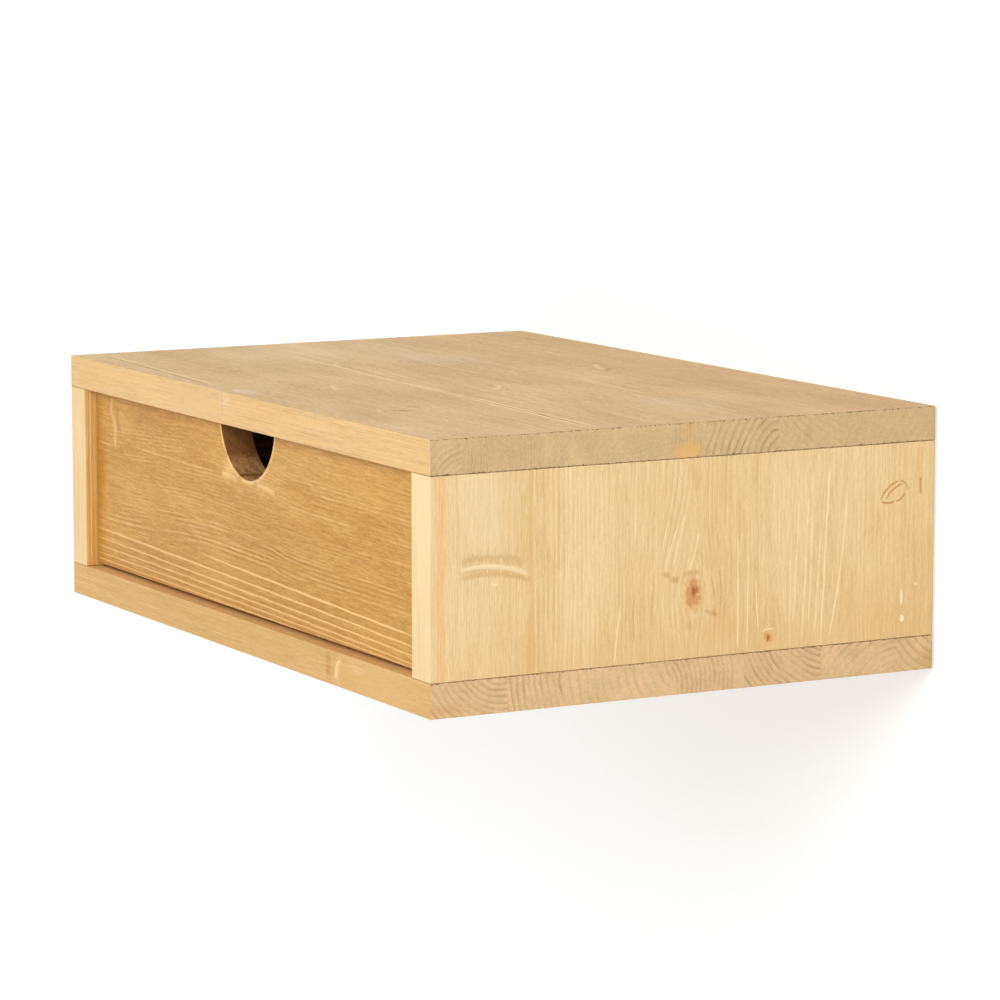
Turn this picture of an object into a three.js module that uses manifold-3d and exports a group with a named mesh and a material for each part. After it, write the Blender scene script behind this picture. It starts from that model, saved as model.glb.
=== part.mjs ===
// A floating nightstand: a spruce box that hangs on a wall, with one drawer on ball-bearing slides.
// Lengths are in millimetres. X runs to the right seen from the front, Y towards the wall and Z up.
// The origin is the centre of the back face, where the box meets the wall.

import * as THREE from "three";
import { mergeVertices } from "three/addons/utils/BufferGeometryUtils.js";
import Module from "manifold-3d";

const wasm = await Module();
wasm.setup();

// Box
const width = 450;
const depth = 300;
const height = 140;
const boardThickness = 18; // top, bottom and back
const sideThickness = 20;
const arris = 0.4; // the eased edge of a spruce board that shows
const hiddenArris = 0.8; // the eased edge of the back board, between the sides
const glueLine = 0.2; // the fine joint that shows between two boards

// Dowels of the box
const dowelDiameter = 8;
const dowelLength = 30;
const dowelInFace = 12; // how far a dowel goes into the face of a board
const dowelClearance = 0.15;
const dowelSetIn = 55; // from the front or the back edge of the box
const backDowelRise = 28; // above and below the middle of the back panel

// Drawer front
const frontThickness = 18;
const frontRecess = 7; // behind the front edges of the box
const frontSideGap = 1;
const frontTopGap = 1.5;
const frontBottomGap = 2;
const pullRadius = 34; // the finger pull is cut with a 68 mm hole saw
const pullCentreRise = 6.2; // above the top edge of the front

// Drawer box
const boxThickness = 12;
const boxTopRoom = 16; // from the drawer's sides up to the top panel
const boxLift = 6; // above the lower edge of the front
const boxArris = 0.5;
const boxRearClearance = 7; // to the back panel
const boxDowelDiameter = 6;
const boxDowelLength = 30;
const boxDowelInFace = 10;
const boxDowelFromTop = 16; // below the upper edge of the drawer's sides
const boxDowelFromFloor = 9; // above the plywood
const floorThickness = 5; // the plywood floor
const floorLift = 8; // above the lower edge of the drawer's sides
const grooveDepth = 5;
const grooveClearance = 0.2;

// Slides
const slideThickness = 12.7;
const slideHeight = 45.5;
const slideClearance = 0.15; // between a slide and the wood on each side of it
const slideSetBack = 0.5; // behind the drawer front
const outerSteel = 1.1;
const middleSteel = 1;
const innerSteel = 1.1;
const bendFlat = 0.8; // the flat across the outside of a bend
const outerMouth = 2.7; // from the outer rail's lips to the drawer
const middleMouth = 1.9;
const lipWidth = 1;
const lipHeight = 0.7;
const ballRadius = 1.5;
const ballClearance = 0.06;
const cageSteel = 0.5;
const cageClearance = 0.3;
const cageOverhang = 2; // past the middle of the balls
const outerCageLength = 100;
const innerCageLength = 90;
const outerCageStartShare = 0.3; // of the slide's length
const innerCageStartShare = 0.32;
const ballsInRow = 9;
const ballEndMargin = 7;
const bumperThickness = 3;
const bumperGap = 1;
const accessHoleRadius = 5;

// Release levers on the slides
const leverThickness = 2.2;
const leverClearance = 0.25;
const leverPivotRadius = 2;
const leverHeadRadius = 3;
const leverHeadHeight = 0.8;
const leverHubRadius = 5.5;
const leverThumbRadius = 4;
const leverThumbReach = 40;
const leverTailReach = 16;
const leverTailHalf = 2.4;
const leverPivotSetBack = 105; // behind the front end of the rail

// Screws
const screwClearance = 0.15;
const screwFlush = 0.1; // how far a head sits below the face
const screwTip = 3.5;
const recessWidth = 0.9;
const recessDepth = 1.2;
const recessReachShare = 0.62; // of the head's radius
const boxScrew = { head: 3.4, cone: 2.2, shank: 1.75, length: 30 };
const floorScrew = { head: 2.8, cone: 1.7, shank: 1.5, length: 16 };
const slideScrew = { head: 3.2, cone: 2, shank: 1.7, length: 11 };
const plateScrew = { head: 3.2, cone: 1.9, shank: 1.7, length: 12 };
const boxScrewFromTop = 12; // below the upper edge of the drawer's sides
const boxScrewFromFloor = 7; // above the plywood
const floorScrewInset = 80; // from the inside of the drawer's sides
const slideScrewSetIn = 35; // from each end of a slide

// Hanger plates
const plateWidth = 32;
const plateHeight = 58;
const plateThickness = 2;
const plateCorner = 5;
const plateSetback = 0.2; // behind the wood that meets the wall
const plateClearance = 0.3;
const plateFromSide = 29; // from the inside of the side panel
const plateFromTop = 11; // below the top panel
const plateScrewRise = 22; // above and below the middle of the plate
const keyRadius = 5;
const keyDrop = 7; // of the round entry, below the middle of the plate
const slotRadius = 2.75;
const slotRise = 7;
const headPocketDepth = 9; // room for the wall screw's head, from the back face
const headPocketMargin = 2.5; // around the keyhole

// Fineness of round shapes
const roundSides = 12;
const dowelSides = 8;
const ballSides = 6;
const ballRings = 4;
const pullSteps = 36;
const cornerSteps = 3;
const cutOverrun = 2; // how far a cutter runs past a face
const weldDistance = 1e-4;

// Planes that the pieces share
const topUnderside = height / 2 - boardThickness;
const floorTop = -topUnderside;
const innerHalfWidth = width / 2 - sideThickness;
const backPlane = -boardThickness;
const sideHeight = topUnderside - floorTop - 2 * glueLine;
const frontFace = -depth + frontRecess;
const frontBack = frontFace + frontThickness;
const frontTop = topUnderside - frontTopGap;
const frontBottom = floorTop + frontBottomGap;
const boxStart = frontBack + glueLine;
const boxEnd = backPlane - boxRearClearance;
const boxHalfWidth = innerHalfWidth - slideThickness - 2 * slideClearance;
const boxInnerHalf = boxHalfWidth - boxThickness;
const boxBottom = frontBottom + boxLift;
const boxTop = topUnderside - boxTopRoom;
const plyBottom = boxBottom + floorLift;
const plyTop = plyBottom + floorThickness;
const boxDowelRises = [["upper", boxTop - boxDowelFromTop], ["lower", plyTop + boxDowelFromFloor]];
const boxScrewRises = [["upper", boxTop - boxScrewFromTop], ["lower", plyTop + boxScrewFromFloor]];
const floorScrewX = boxInnerHalf - floorScrewInset;
const plateX = innerHalfWidth - plateFromSide - plateWidth / 2;
const plateZ = topUnderside - plateFromTop - plateHeight / 2;
const slideLine = (boxBottom + boxTop) / 2;
const slideStart = frontBack + slideSetBack;
const slideLength = boxEnd - slideStart;
const runnerLength = slideLength - bumperThickness - bumperGap;

// Steps across a slide, from the box's side panel towards the drawer
const outerCageX = outerSteel + cageClearance;
const middleWebX = outerCageX + cageSteel + cageClearance;
const innerCageX = middleWebX + middleSteel + cageClearance;
const innerEdgeX = innerCageX + cageSteel + cageClearance;
const innerWebX = slideThickness - innerSteel;
const outerReach = slideThickness - outerMouth;
const middleReach = slideThickness - middleMouth;
const outerBallX = (middleWebX + outerReach - lipWidth) / 2;
const innerBallX = (innerEdgeX + middleReach) / 2;

// Steps down a slide, from its upper edge towards its middle line
const ballRoom = 2 * (ballRadius + ballClearance);
const outerTop = slideHeight / 2;
const middleTop = outerTop - outerSteel - ballRoom;
const innerTop = middleTop - middleSteel - ballRoom;
const outerBallRise = outerTop - outerSteel - ballRoom / 2;
const innerBallRise = middleTop - middleSteel - ballRoom / 2;

// Directions
const right = new THREE.Vector3(1, 0, 0);
const left = new THREE.Vector3(-1, 0, 0);
const toWall = new THREE.Vector3(0, 1, 0);
const up = new THREE.Vector3(0, 0, 1);
const down = new THREE.Vector3(0, 0, -1);

// Materials
const finish = (color, roughness, metalness) =>
  new THREE.MeshStandardMaterial({ color, roughness, metalness });
const spruceWarm = finish(0xdcb27a, 0.62, 0);
const sprucePale = finish(0xead09c, 0.62, 0);
const spruceFront = finish(0xd0a064, 0.6, 0);
const drawerWood = finish(0xe6cfa4, 0.66, 0);
const plywood = finish(0xdcc196, 0.68, 0);
const dowelWood = finish(0xd9b98a, 0.7, 0);
const zincSteel = finish(0xb9bcc0, 0.32, 1);
const cageFinish = finish(0x8f9296, 0.4, 1);
const screwSteel = finish(0xc9c3ae, 0.35, 1);
const blackPlastic = finish(0x17181a, 0.5, 0);

// Turns a closed geometry into a solid that can be cut and joined.
function solidOf(geometry) {
  const bare = geometry.clone();
  bare.deleteAttribute("normal");
  bare.deleteAttribute("uv");
  const welded = mergeVertices(bare, weldDistance);
  const corners = [];
  for (let i = 0; i < welded.index.count; i += 3) {
    const [a, b, c] = [0, 1, 2].map((k) => welded.index.getX(i + k));
    if (a !== b && b !== c && c !== a) corners.push(a, b, c);
  }
  return new wasm.Manifold(
    new wasm.Mesh({
      numProp: 3,
      vertProperties: welded.attributes.position.array,
      triVerts: new Uint32Array(corners),
    }),
  );
}

// Turns a solid back into a geometry with flat faces.
function geometryOf(solid) {
  const made = solid.getMesh();
  const shared = new THREE.BufferGeometry();
  const positions = Float32Array.from(made.vertProperties);
  shared.setAttribute("position", new THREE.BufferAttribute(positions, 3));
  shared.setIndex(new THREE.BufferAttribute(Uint32Array.from(made.triVerts), 1));
  const flat = shared.toNonIndexed();
  flat.computeVertexNormals();
  return flat;
}

// Adds a named mesh. The geometry is modelled about its own centre, and the cutters and the joined
// pieces are modelled in the parent's frame.
function addPiece(parent, name, material, geometry, centre, cutters = [], joined = []) {
  let shape = solidOf(geometry);
  const local = (other) => solidOf(other.clone().translate(-centre.x, -centre.y, -centre.z));
  for (const other of joined) shape = shape.add(local(other));
  for (const other of cutters) shape = shape.subtract(local(other));
  const mesh = new THREE.Mesh(geometryOf(shape), material);
  mesh.name = name;
  mesh.position.copy(centre);
  parent.add(mesh);
  return mesh;
}

// The middle and the size of a box given by its low and high corners.
function span(low, high) {
  const box = new THREE.Box3(new THREE.Vector3(...low), new THREE.Vector3(...high));
  return { centre: box.getCenter(new THREE.Vector3()), size: box.getSize(new THREE.Vector3()) };
}

// A plain block between two corners, in the parent's frame.
function block(low, high) {
  const { centre, size } = span(low, high);
  return new THREE.BoxGeometry(size.x, size.y, size.z).translate(centre.x, centre.y, centre.z);
}

// Extrudes an outline drawn in X and Z along Y, centred on its own origin.
function extrudeAlongY(outline, length, ease = 0) {
  const straight = length - 2 * ease;
  const settings = {
    depth: straight,
    bevelEnabled: ease > 0,
    bevelThickness: ease,
    bevelSize: ease,
    bevelOffset: -ease,
    bevelSegments: 1,
    curveSegments: pullSteps,
  };
  const turned = new THREE.Matrix4().makeBasis(right, up, toWall.clone().negate());
  return new THREE.ExtrudeGeometry(outline, settings)
    .translate(0, 0, -straight / 2)
    .applyMatrix4(turned);
}

// Extrudes an outline drawn in Y and Z along X, centred on its own origin.
function extrudeAlongX(outline, length) {
  const settings = { depth: length, bevelEnabled: false, curveSegments: roundSides };
  const turned = new THREE.Matrix4().makeBasis(toWall, up, right);
  return new THREE.ExtrudeGeometry(outline, settings)
    .translate(0, 0, -length / 2)
    .applyMatrix4(turned);
}

// A board between two corners with its edges eased, centred on its own origin.
function easedBoard(size, ease) {
  const x = size.x / 2;
  const z = size.z / 2;
  const outline = new THREE.Shape([
    new THREE.Vector2(-x + ease, -z),
    new THREE.Vector2(x - ease, -z),
    new THREE.Vector2(x, -z + ease),
    new THREE.Vector2(x, z - ease),
    new THREE.Vector2(x - ease, z),
    new THREE.Vector2(-x + ease, z),
    new THREE.Vector2(-x, z - ease),
    new THREE.Vector2(-x, -z + ease),
  ]);
  return extrudeAlongY(outline, size.y, ease);
}

// Turns a shape that stands along Y so that its +Y end points along a direction, and moves it.
function aim(geometry, direction, place) {
  const turn = new THREE.Quaternion().setFromUnitVectors(toWall, direction);
  return geometry.applyQuaternion(turn).translate(place.x, place.y, place.z);
}

// A round rod that starts at a place and runs along a direction.
function rod(start, direction, length, radius, sides = roundSides) {
  const middle = start.clone().addScaledVector(direction, length / 2);
  return aim(new THREE.CylinderGeometry(radius, radius, length, sides), direction, middle);
}

// A lathe body about Y from its profile of [radius, height] pairs, listed upwards.
function turned(profile) {
  return new THREE.LatheGeometry(
    profile.map(([radius, rise]) => new THREE.Vector2(radius, rise)),
    roundSides,
  );
}

// A countersunk screw whose head's top is at the place and faces along outward.
function screwBody(kind, outward, place) {
  const { head, cone, shank, length } = kind;
  return aim(
    turned([[0, -length], [shank, screwTip - length], [shank, -cone], [head, 0], [0, 0]]),
    outward,
    place,
  );
}

// The hole that such a screw sits in, which runs a little past the face and the tip.
function screwHole(kind, outward, place) {
  const { head, cone, shank, length } = kind;
  const radius = shank + screwClearance;
  const mouth = head + screwClearance;
  const tip = -length - screwClearance;
  return aim(
    turned([[0, tip], [radius, tip], [radius, -cone], [mouth, 0], [mouth, cutOverrun], [0, cutOverrun]]),
    outward,
    place,
  );
}

// A screw as a named piece, with a cross recess in its head.
function addScrew(parent, name, kind, outward, place) {
  const reach = kind.head * recessReachShare;
  const arms = [
    [reach, recessWidth / 2],
    [recessWidth / 2, reach],
  ].map(([x, z]) => aim(block([-x, -recessDepth, -z], [x, cutOverrun, z]), outward, place));
  const body = screwBody(kind, outward, new THREE.Vector3());
  addPiece(parent, name, screwSteel, body, place, arms);
}

// The rod of a dowel, grown all round by a clearance where it is the hole for one.
function dowelRod({ start, direction, length, diameter }, clearance = 0) {
  const from = start.clone().addScaledVector(direction, -clearance);
  return rod(from, direction, length + 2 * clearance, diameter / 2 + clearance, dowelSides);
}

function addDowel(parent, name, dowel) {
  const middle = dowel.start.clone().addScaledVector(dowel.direction, dowel.length / 2);
  const body = dowelRod({ ...dowel, start: dowel.start.clone().sub(middle) });
  addPiece(parent, name, dowelWood, body, middle);
}

const holesFor = (dowels) => dowels.map(({ dowel }) => dowelRod(dowel, dowelClearance));

// Dowels that stand between a side panel and the top or the bottom
function boxDowels() {
  const found = [];
  const edges = [["front", dowelSetIn - depth], ["rear", -dowelSetIn]];
  for (const [side, sign] of [["left", -1], ["right", 1]])
    for (const [level, direction] of [["top", down], ["bottom", up]])
      for (const [edge, y] of edges) {
        const x = sign * (width / 2 - sideThickness / 2);
        const z = -direction.z * (topUnderside + dowelInFace);
        const start = new THREE.Vector3(x, y, z);
        const dowel = { start, direction, length: dowelLength, diameter: dowelDiameter };
        found.push({ name: `${side}_${level}_${edge}_dowel`, side, level, dowel });
      }
  return found;
}

// Dowels that lie between a side panel and the end of the back panel
function backDowels() {
  const found = [];
  for (const [side, sign, direction] of [["left", -1, right], ["right", 1, left]])
    for (const [level, rise] of [["upper", backDowelRise], ["lower", -backDowelRise]]) {
      const x = sign * (innerHalfWidth + dowelInFace);
      const start = new THREE.Vector3(x, backPlane / 2, rise);
      const dowel = { start, direction, length: dowelLength, diameter: dowelDiameter };
      found.push({ name: `${side}_back_${level}_dowel`, side, dowel });
    }
  return found;
}

// Dowels between the drawer front and the front ends of the drawer's sides
function drawerDowels() {
  const found = [];
  for (const [side, sign] of [["left", -1], ["right", 1]])
    for (const [level, z] of boxDowelRises) {
      const x = sign * (boxHalfWidth - boxThickness / 2);
      const start = new THREE.Vector3(x, frontBack - boxDowelInFace, z);
      const size = { length: boxDowelLength, diameter: boxDowelDiameter };
      const dowel = { start, direction: toWall, ...size };
      found.push({ name: `drawer_${side}_${level}_dowel`, side, dowel });
    }
  return found;
}

// Where each slide's screws sit along it, from its front end
const slideScrewPlaces = [
  ["front", slideScrewSetIn],
  ["rear", runnerLength - slideScrewSetIn],
];

// The frame of a slide: the right one is the left one given half a turn about Y.
function slideFrame(side) {
  const frame = new THREE.Group();
  const sign = side === "left" ? -1 : 1;
  frame.position.set(sign * (innerHalfWidth - slideClearance), slideStart, slideLine);
  frame.rotation.y = side === "left" ? 0 : Math.PI;
  frame.updateMatrix();
  return frame;
}

// The screws that hold one rail of a slide, in the slide's own frame.
function railScrews(rail) {
  const outward = rail === "outer" ? right : left;
  const x = rail === "outer" ? outerSteel - screwFlush : innerWebX + screwFlush;
  return slideScrewPlaces.map(([end, y]) => ({ end, outward, place: new THREE.Vector3(x, y, 0) }));
}

// The same screws' holes in the frame of the whole object, for the wood behind the rail.
function railHolesInWood(side, rail) {
  const frame = slideFrame(side);
  return railScrews(rail).map(({ outward, place }) =>
    screwHole(slideScrew, outward, place).applyMatrix4(frame.matrix),
  );
}

// The screws through a drawer side into the drawer's back.
function boxScrews(side) {
  const sign = side === "left" ? -1 : 1;
  const outward = side === "left" ? left : right;
  const x = sign * (boxHalfWidth - screwFlush);
  const y = boxEnd - boxThickness / 2;
  return boxScrewRises.map(([level, z]) => ({
    name: `drawer_${side}_${level}_screw`,
    outward,
    place: new THREE.Vector3(x, y, z),
  }));
}

// The screws up through the drawer's floor into its back.
function floorScrews() {
  const y = boxEnd - boxThickness / 2;
  return [["left", -floorScrewX], ["right", floorScrewX]].map(([side, x]) => ({
    name: `drawer_floor_${side}_screw`,
    outward: down,
    place: new THREE.Vector3(x, y, plyBottom + screwFlush),
  }));
}

// Outlines of the hanger plate, drawn in X and Z about the plate's middle
function roundedRectangle(halfWidth, halfHeight, corner) {
  const outline = new THREE.Shape();
  outline.moveTo(halfWidth, corner - halfHeight);
  outline.absarc(halfWidth - corner, halfHeight - corner, corner, 0, Math.PI / 2);
  outline.absarc(corner - halfWidth, halfHeight - corner, corner, Math.PI / 2, Math.PI);
  outline.absarc(corner - halfWidth, corner - halfHeight, corner, Math.PI, 1.5 * Math.PI);
  outline.absarc(halfWidth - corner, corner - halfHeight, corner, 1.5 * Math.PI, 2 * Math.PI);
  return new THREE.Shape(outline.getPoints(cornerSteps));
}

// The keyhole: a round entry with a narrower slot above it.
function keyhole() {
  const meet = Math.asin(slotRadius / keyRadius);
  const outline = new THREE.Path();
  outline.absarc(0, -keyDrop, keyRadius, Math.PI / 2 + meet, 2.5 * Math.PI - meet);
  outline.absarc(0, slotRise, slotRadius, 0, Math.PI);
  return new THREE.Path(outline.getPoints(roundSides));
}

// The screws of one hanger plate and the pockets that the back panel has for it.
function hanger(sign) {
  const y = -plateSetback - plateThickness / 2;
  const centre = new THREE.Vector3(sign * plateX, y, plateZ);
  const screws = [["upper", plateScrewRise], ["lower", -plateScrewRise]].map(([level, rise]) => ({
    level,
    place: new THREE.Vector3(centre.x, -plateSetback - screwFlush, centre.z + rise),
  }));
  const plateFloor = -plateSetback - plateThickness - screwClearance;
  const seat = roundedRectangle(
    plateWidth / 2 + plateClearance,
    plateHeight / 2 + plateClearance,
    plateCorner,
  );
  const seatDepth = cutOverrun - plateFloor;
  const headHalf = keyRadius + headPocketMargin;
  const pockets = [
    extrudeAlongY(seat, seatDepth).translate(centre.x, plateFloor + seatDepth / 2, centre.z),
    block(
      [centre.x - headHalf, -headPocketDepth, centre.z - keyDrop - headHalf],
      [centre.x + headHalf, cutOverrun, centre.z + slotRise + slotRadius + headPocketMargin],
    ),
  ];
  return { centre, screws, pockets };
}

// Box: top, bottom, sides and back
function addCarcass(root) {
  const dowels = boxDowels();
  const backPins = backDowels();
  const hangers = [["left", hanger(-1)], ["right", hanger(1)]];

  for (const level of ["top", "bottom"]) {
    const sign = level === "top" ? 1 : -1;
    const faces = [sign * topUnderside, (sign * height) / 2].sort((a, b) => a - b);
    const { centre, size } = span([-width / 2, -depth, faces[0]], [width / 2, 0, faces[1]]);
    const holes = holesFor(dowels.filter((found) => found.level === level));
    addPiece(root, `${level}_panel`, spruceWarm, easedBoard(size, arris), centre, holes);
  }

  for (const side of ["left", "right"]) {
    const sign = side === "left" ? -1 : 1;
    const faces = [sign * innerHalfWidth, (sign * width) / 2].sort((a, b) => a - b);
    const rise = sideHeight / 2;
    const { centre, size } = span([faces[0], -depth, -rise], [faces[1], 0, rise]);
    const pins = [...dowels, ...backPins].filter((found) => found.side === side);
    const holes = [...holesFor(pins), ...railHolesInWood(side, "outer")];
    addPiece(root, `${side}_side_panel`, sprucePale, easedBoard(size, arris), centre, holes);
  }

  const half = innerHalfWidth - glueLine;
  const { centre, size } = span([-half, backPlane, -sideHeight / 2], [half, 0, sideHeight / 2]);
  const cuts = holesFor(backPins);
  for (const [, { screws, pockets }] of hangers) {
    cuts.push(...pockets);
    for (const { place } of screws) cuts.push(screwHole(plateScrew, toWall, place));
  }
  addPiece(root, "back_panel", spruceWarm, easedBoard(size, hiddenArris), centre, cuts);

  for (const { name, dowel } of [...dowels, ...backPins]) addDowel(root, name, dowel);
  for (const [side, found] of hangers) addHanger(root, side, found);
}

// A steel plate with a keyhole that drops over a screw in the wall.
function addHanger(root, side, { centre, screws }) {
  const outline = roundedRectangle(plateWidth / 2, plateHeight / 2, plateCorner);
  outline.holes.push(keyhole());
  const holes = screws.map(({ place }) => screwHole(plateScrew, toWall, place));
  const plate = extrudeAlongY(outline, plateThickness);
  addPiece(root, `${side}_hanger_plate`, zincSteel, plate, centre, holes);
  for (const { level, place } of screws)
    addScrew(root, `${side}_hanger_${level}_screw`, plateScrew, toWall, place);
}

// The drawer front's outline, with the finger pull cut from its top edge.
function frontOutline(x, z) {
  const meet = Math.asin(pullCentreRise / pullRadius);
  const outline = new THREE.Shape();
  outline.moveTo(arris - x, -z);
  outline.lineTo(x - arris, -z);
  outline.lineTo(x, arris - z);
  outline.lineTo(x, z - arris);
  outline.lineTo(x - arris, z);
  outline.absarc(0, z + pullCentreRise, pullRadius, -meet, meet - Math.PI, true);
  outline.lineTo(arris - x, z);
  outline.lineTo(-x, z - arris);
  outline.lineTo(-x, arris - z);
  return outline;
}

// Drawer: front, sides, back and floor
function addDrawer(root) {
  const pins = drawerDowels();
  const frontHalf = innerHalfWidth - frontSideGap;
  const front = span([-frontHalf, frontFace, frontBottom], [frontHalf, frontBack, frontTop]);
  const floorHalf = boxInnerHalf + grooveDepth - grooveClearance;
  const floorFront = frontBack - grooveDepth + grooveClearance;
  const groove = block(
    [-boxInnerHalf - grooveDepth, frontBack - grooveDepth, plyBottom - grooveClearance],
    [boxInnerHalf + grooveDepth, boxEnd + cutOverrun, plyTop + grooveClearance],
  );
  const frontBoard = extrudeAlongY(
    frontOutline(front.size.x / 2, front.size.z / 2),
    frontThickness,
    arris,
  );
  const frontCuts = [groove, ...holesFor(pins)];
  addPiece(root, "drawer_front", spruceFront, frontBoard, front.centre, frontCuts);

  for (const side of ["left", "right"]) {
    const sign = side === "left" ? -1 : 1;
    const faces = [sign * boxInnerHalf, sign * boxHalfWidth].sort((a, b) => a - b);
    const { centre, size } = span([faces[0], boxStart, boxBottom], [faces[1], boxEnd, boxTop]);
    const cuts = [
      groove,
      ...holesFor(pins.filter((found) => found.side === side)),
      ...boxScrews(side).map(({ outward, place }) => screwHole(boxScrew, outward, place)),
      ...railHolesInWood(side, "inner"),
    ];
    addPiece(root, `drawer_${side}_side`, drawerWood, easedBoard(size, boxArris), centre, cuts);
  }

  const backHalf = boxInnerHalf - glueLine;
  const back = span(
    [-backHalf, boxEnd - boxThickness, plyTop + glueLine],
    [backHalf, boxEnd, boxTop],
  );
  const backCuts = ["left", "right"].flatMap((side) =>
    boxScrews(side).map(({ outward, place }) => screwHole(boxScrew, outward, place)),
  );
  const floorCuts = floorScrews().map(({ outward, place }) => screwHole(floorScrew, outward, place));
  addPiece(root, "drawer_back", drawerWood, easedBoard(back.size, boxArris), back.centre, [
    ...backCuts,
    ...floorCuts,
  ]);

  const floor = span([-floorHalf, floorFront, plyBottom], [floorHalf, boxEnd, plyTop]);
  const sheet = new THREE.BoxGeometry(floor.size.x, floor.size.y, floor.size.z);
  addPiece(root, "drawer_floor", plywood, sheet, floor.centre, floorCuts);

  for (const { name, dowel } of pins) addDowel(root, name, dowel);
  for (const side of ["left", "right"])
    for (const { name, outward, place } of boxScrews(side))
      addScrew(root, name, boxScrew, outward, place);
  for (const { name, outward, place } of floorScrews())
    addScrew(root, name, floorScrew, outward, place);
}

// Mirrors the upper half of a rail's section below the middle line, as one closed outline.
function railOutline(upper) {
  const lower = upper.map(([x, z]) => [x, -z]).reverse();
  return new THREE.Shape([...upper, ...lower].map(([x, z]) => new THREE.Vector2(x, z)));
}

function outerOutline() {
  const lipX = outerReach - lipWidth;
  const inside = outerTop - outerSteel;
  return railOutline([
    [0, outerTop - bendFlat],
    [bendFlat, outerTop],
    [outerReach - bendFlat, outerTop],
    [outerReach, outerTop - bendFlat],
    [outerReach, inside - lipHeight],
    [lipX, inside - lipHeight],
    [lipX, inside],
    [outerSteel, inside],
  ]);
}

function middleOutline() {
  const lipX = middleReach - lipWidth;
  const inside = middleTop - middleSteel;
  return railOutline([
    [middleWebX, middleTop - bendFlat],
    [middleWebX + bendFlat, middleTop],
    [lipX, middleTop],
    [lipX, middleTop + lipHeight],
    [middleReach, middleTop + lipHeight],
    [middleReach, inside],
    [middleWebX + middleSteel, inside],
  ]);
}

function innerOutline() {
  const inside = innerTop - innerSteel;
  return railOutline([
    [slideThickness, innerTop - bendFlat],
    [slideThickness - bendFlat, innerTop],
    [innerEdgeX, innerTop],
    [innerEdgeX, inside],
    [innerWebX, inside],
  ]);
}

// The section of a ball cage: a thin web with two arms that carry the balls.
function cageOutline(webX, ballX, rise) {
  const reach = ballX + cageOverhang;
  return railOutline([
    [webX, rise + cageSteel / 2],
    [reach, rise + cageSteel / 2],
    [reach, rise - cageSteel / 2],
    [webX + cageSteel, rise - cageSteel / 2],
  ]);
}

// A ball cage with the balls that it holds, all in one piece as they travel.
function addCage(frame, name, webX, ballX, rise, start, length) {
  const centre = new THREE.Vector3(0, start + length / 2, 0);
  const pitch = (length - 2 * ballEndMargin) / (ballsInRow - 1);
  const balls = [];
  for (const side of [-1, 1])
    for (let i = 0; i < ballsInRow; i++) {
      const y = start + ballEndMargin + i * pitch;
      const ball = new THREE.SphereGeometry(ballRadius, ballSides, ballRings);
      balls.push(ball.translate(ballX, y, side * rise));
    }
  const strip = extrudeAlongY(cageOutline(webX, ballX, rise), length);
  addPiece(frame, name, cageFinish, strip, centre, [], balls);
}

// The release lever's outline in Y and Z about its pivot: a thumb pad in front, a short tail behind.
function leverOutline() {
  const spread = leverHubRadius - leverThumbRadius;
  const lean = Math.asin(spread / leverThumbReach);
  const tail = Math.asin(leverTailHalf / leverHubRadius);
  const outline = new THREE.Shape();
  outline.moveTo(leverTailReach, -leverTailHalf);
  outline.lineTo(leverTailReach, leverTailHalf);
  outline.absarc(0, 0, leverHubRadius, tail, Math.PI / 2 + lean);
  outline.absarc(-leverThumbReach, 0, leverThumbRadius, Math.PI / 2 + lean, 1.5 * Math.PI - lean);
  outline.absarc(0, 0, leverHubRadius, 1.5 * Math.PI - lean, 2 * Math.PI - tail);
  const eye = new THREE.Path();
  eye.absarc(0, 0, leverPivotRadius + leverClearance, 0, 2 * Math.PI);
  outline.holes.push(eye);
  return outline;
}

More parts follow.
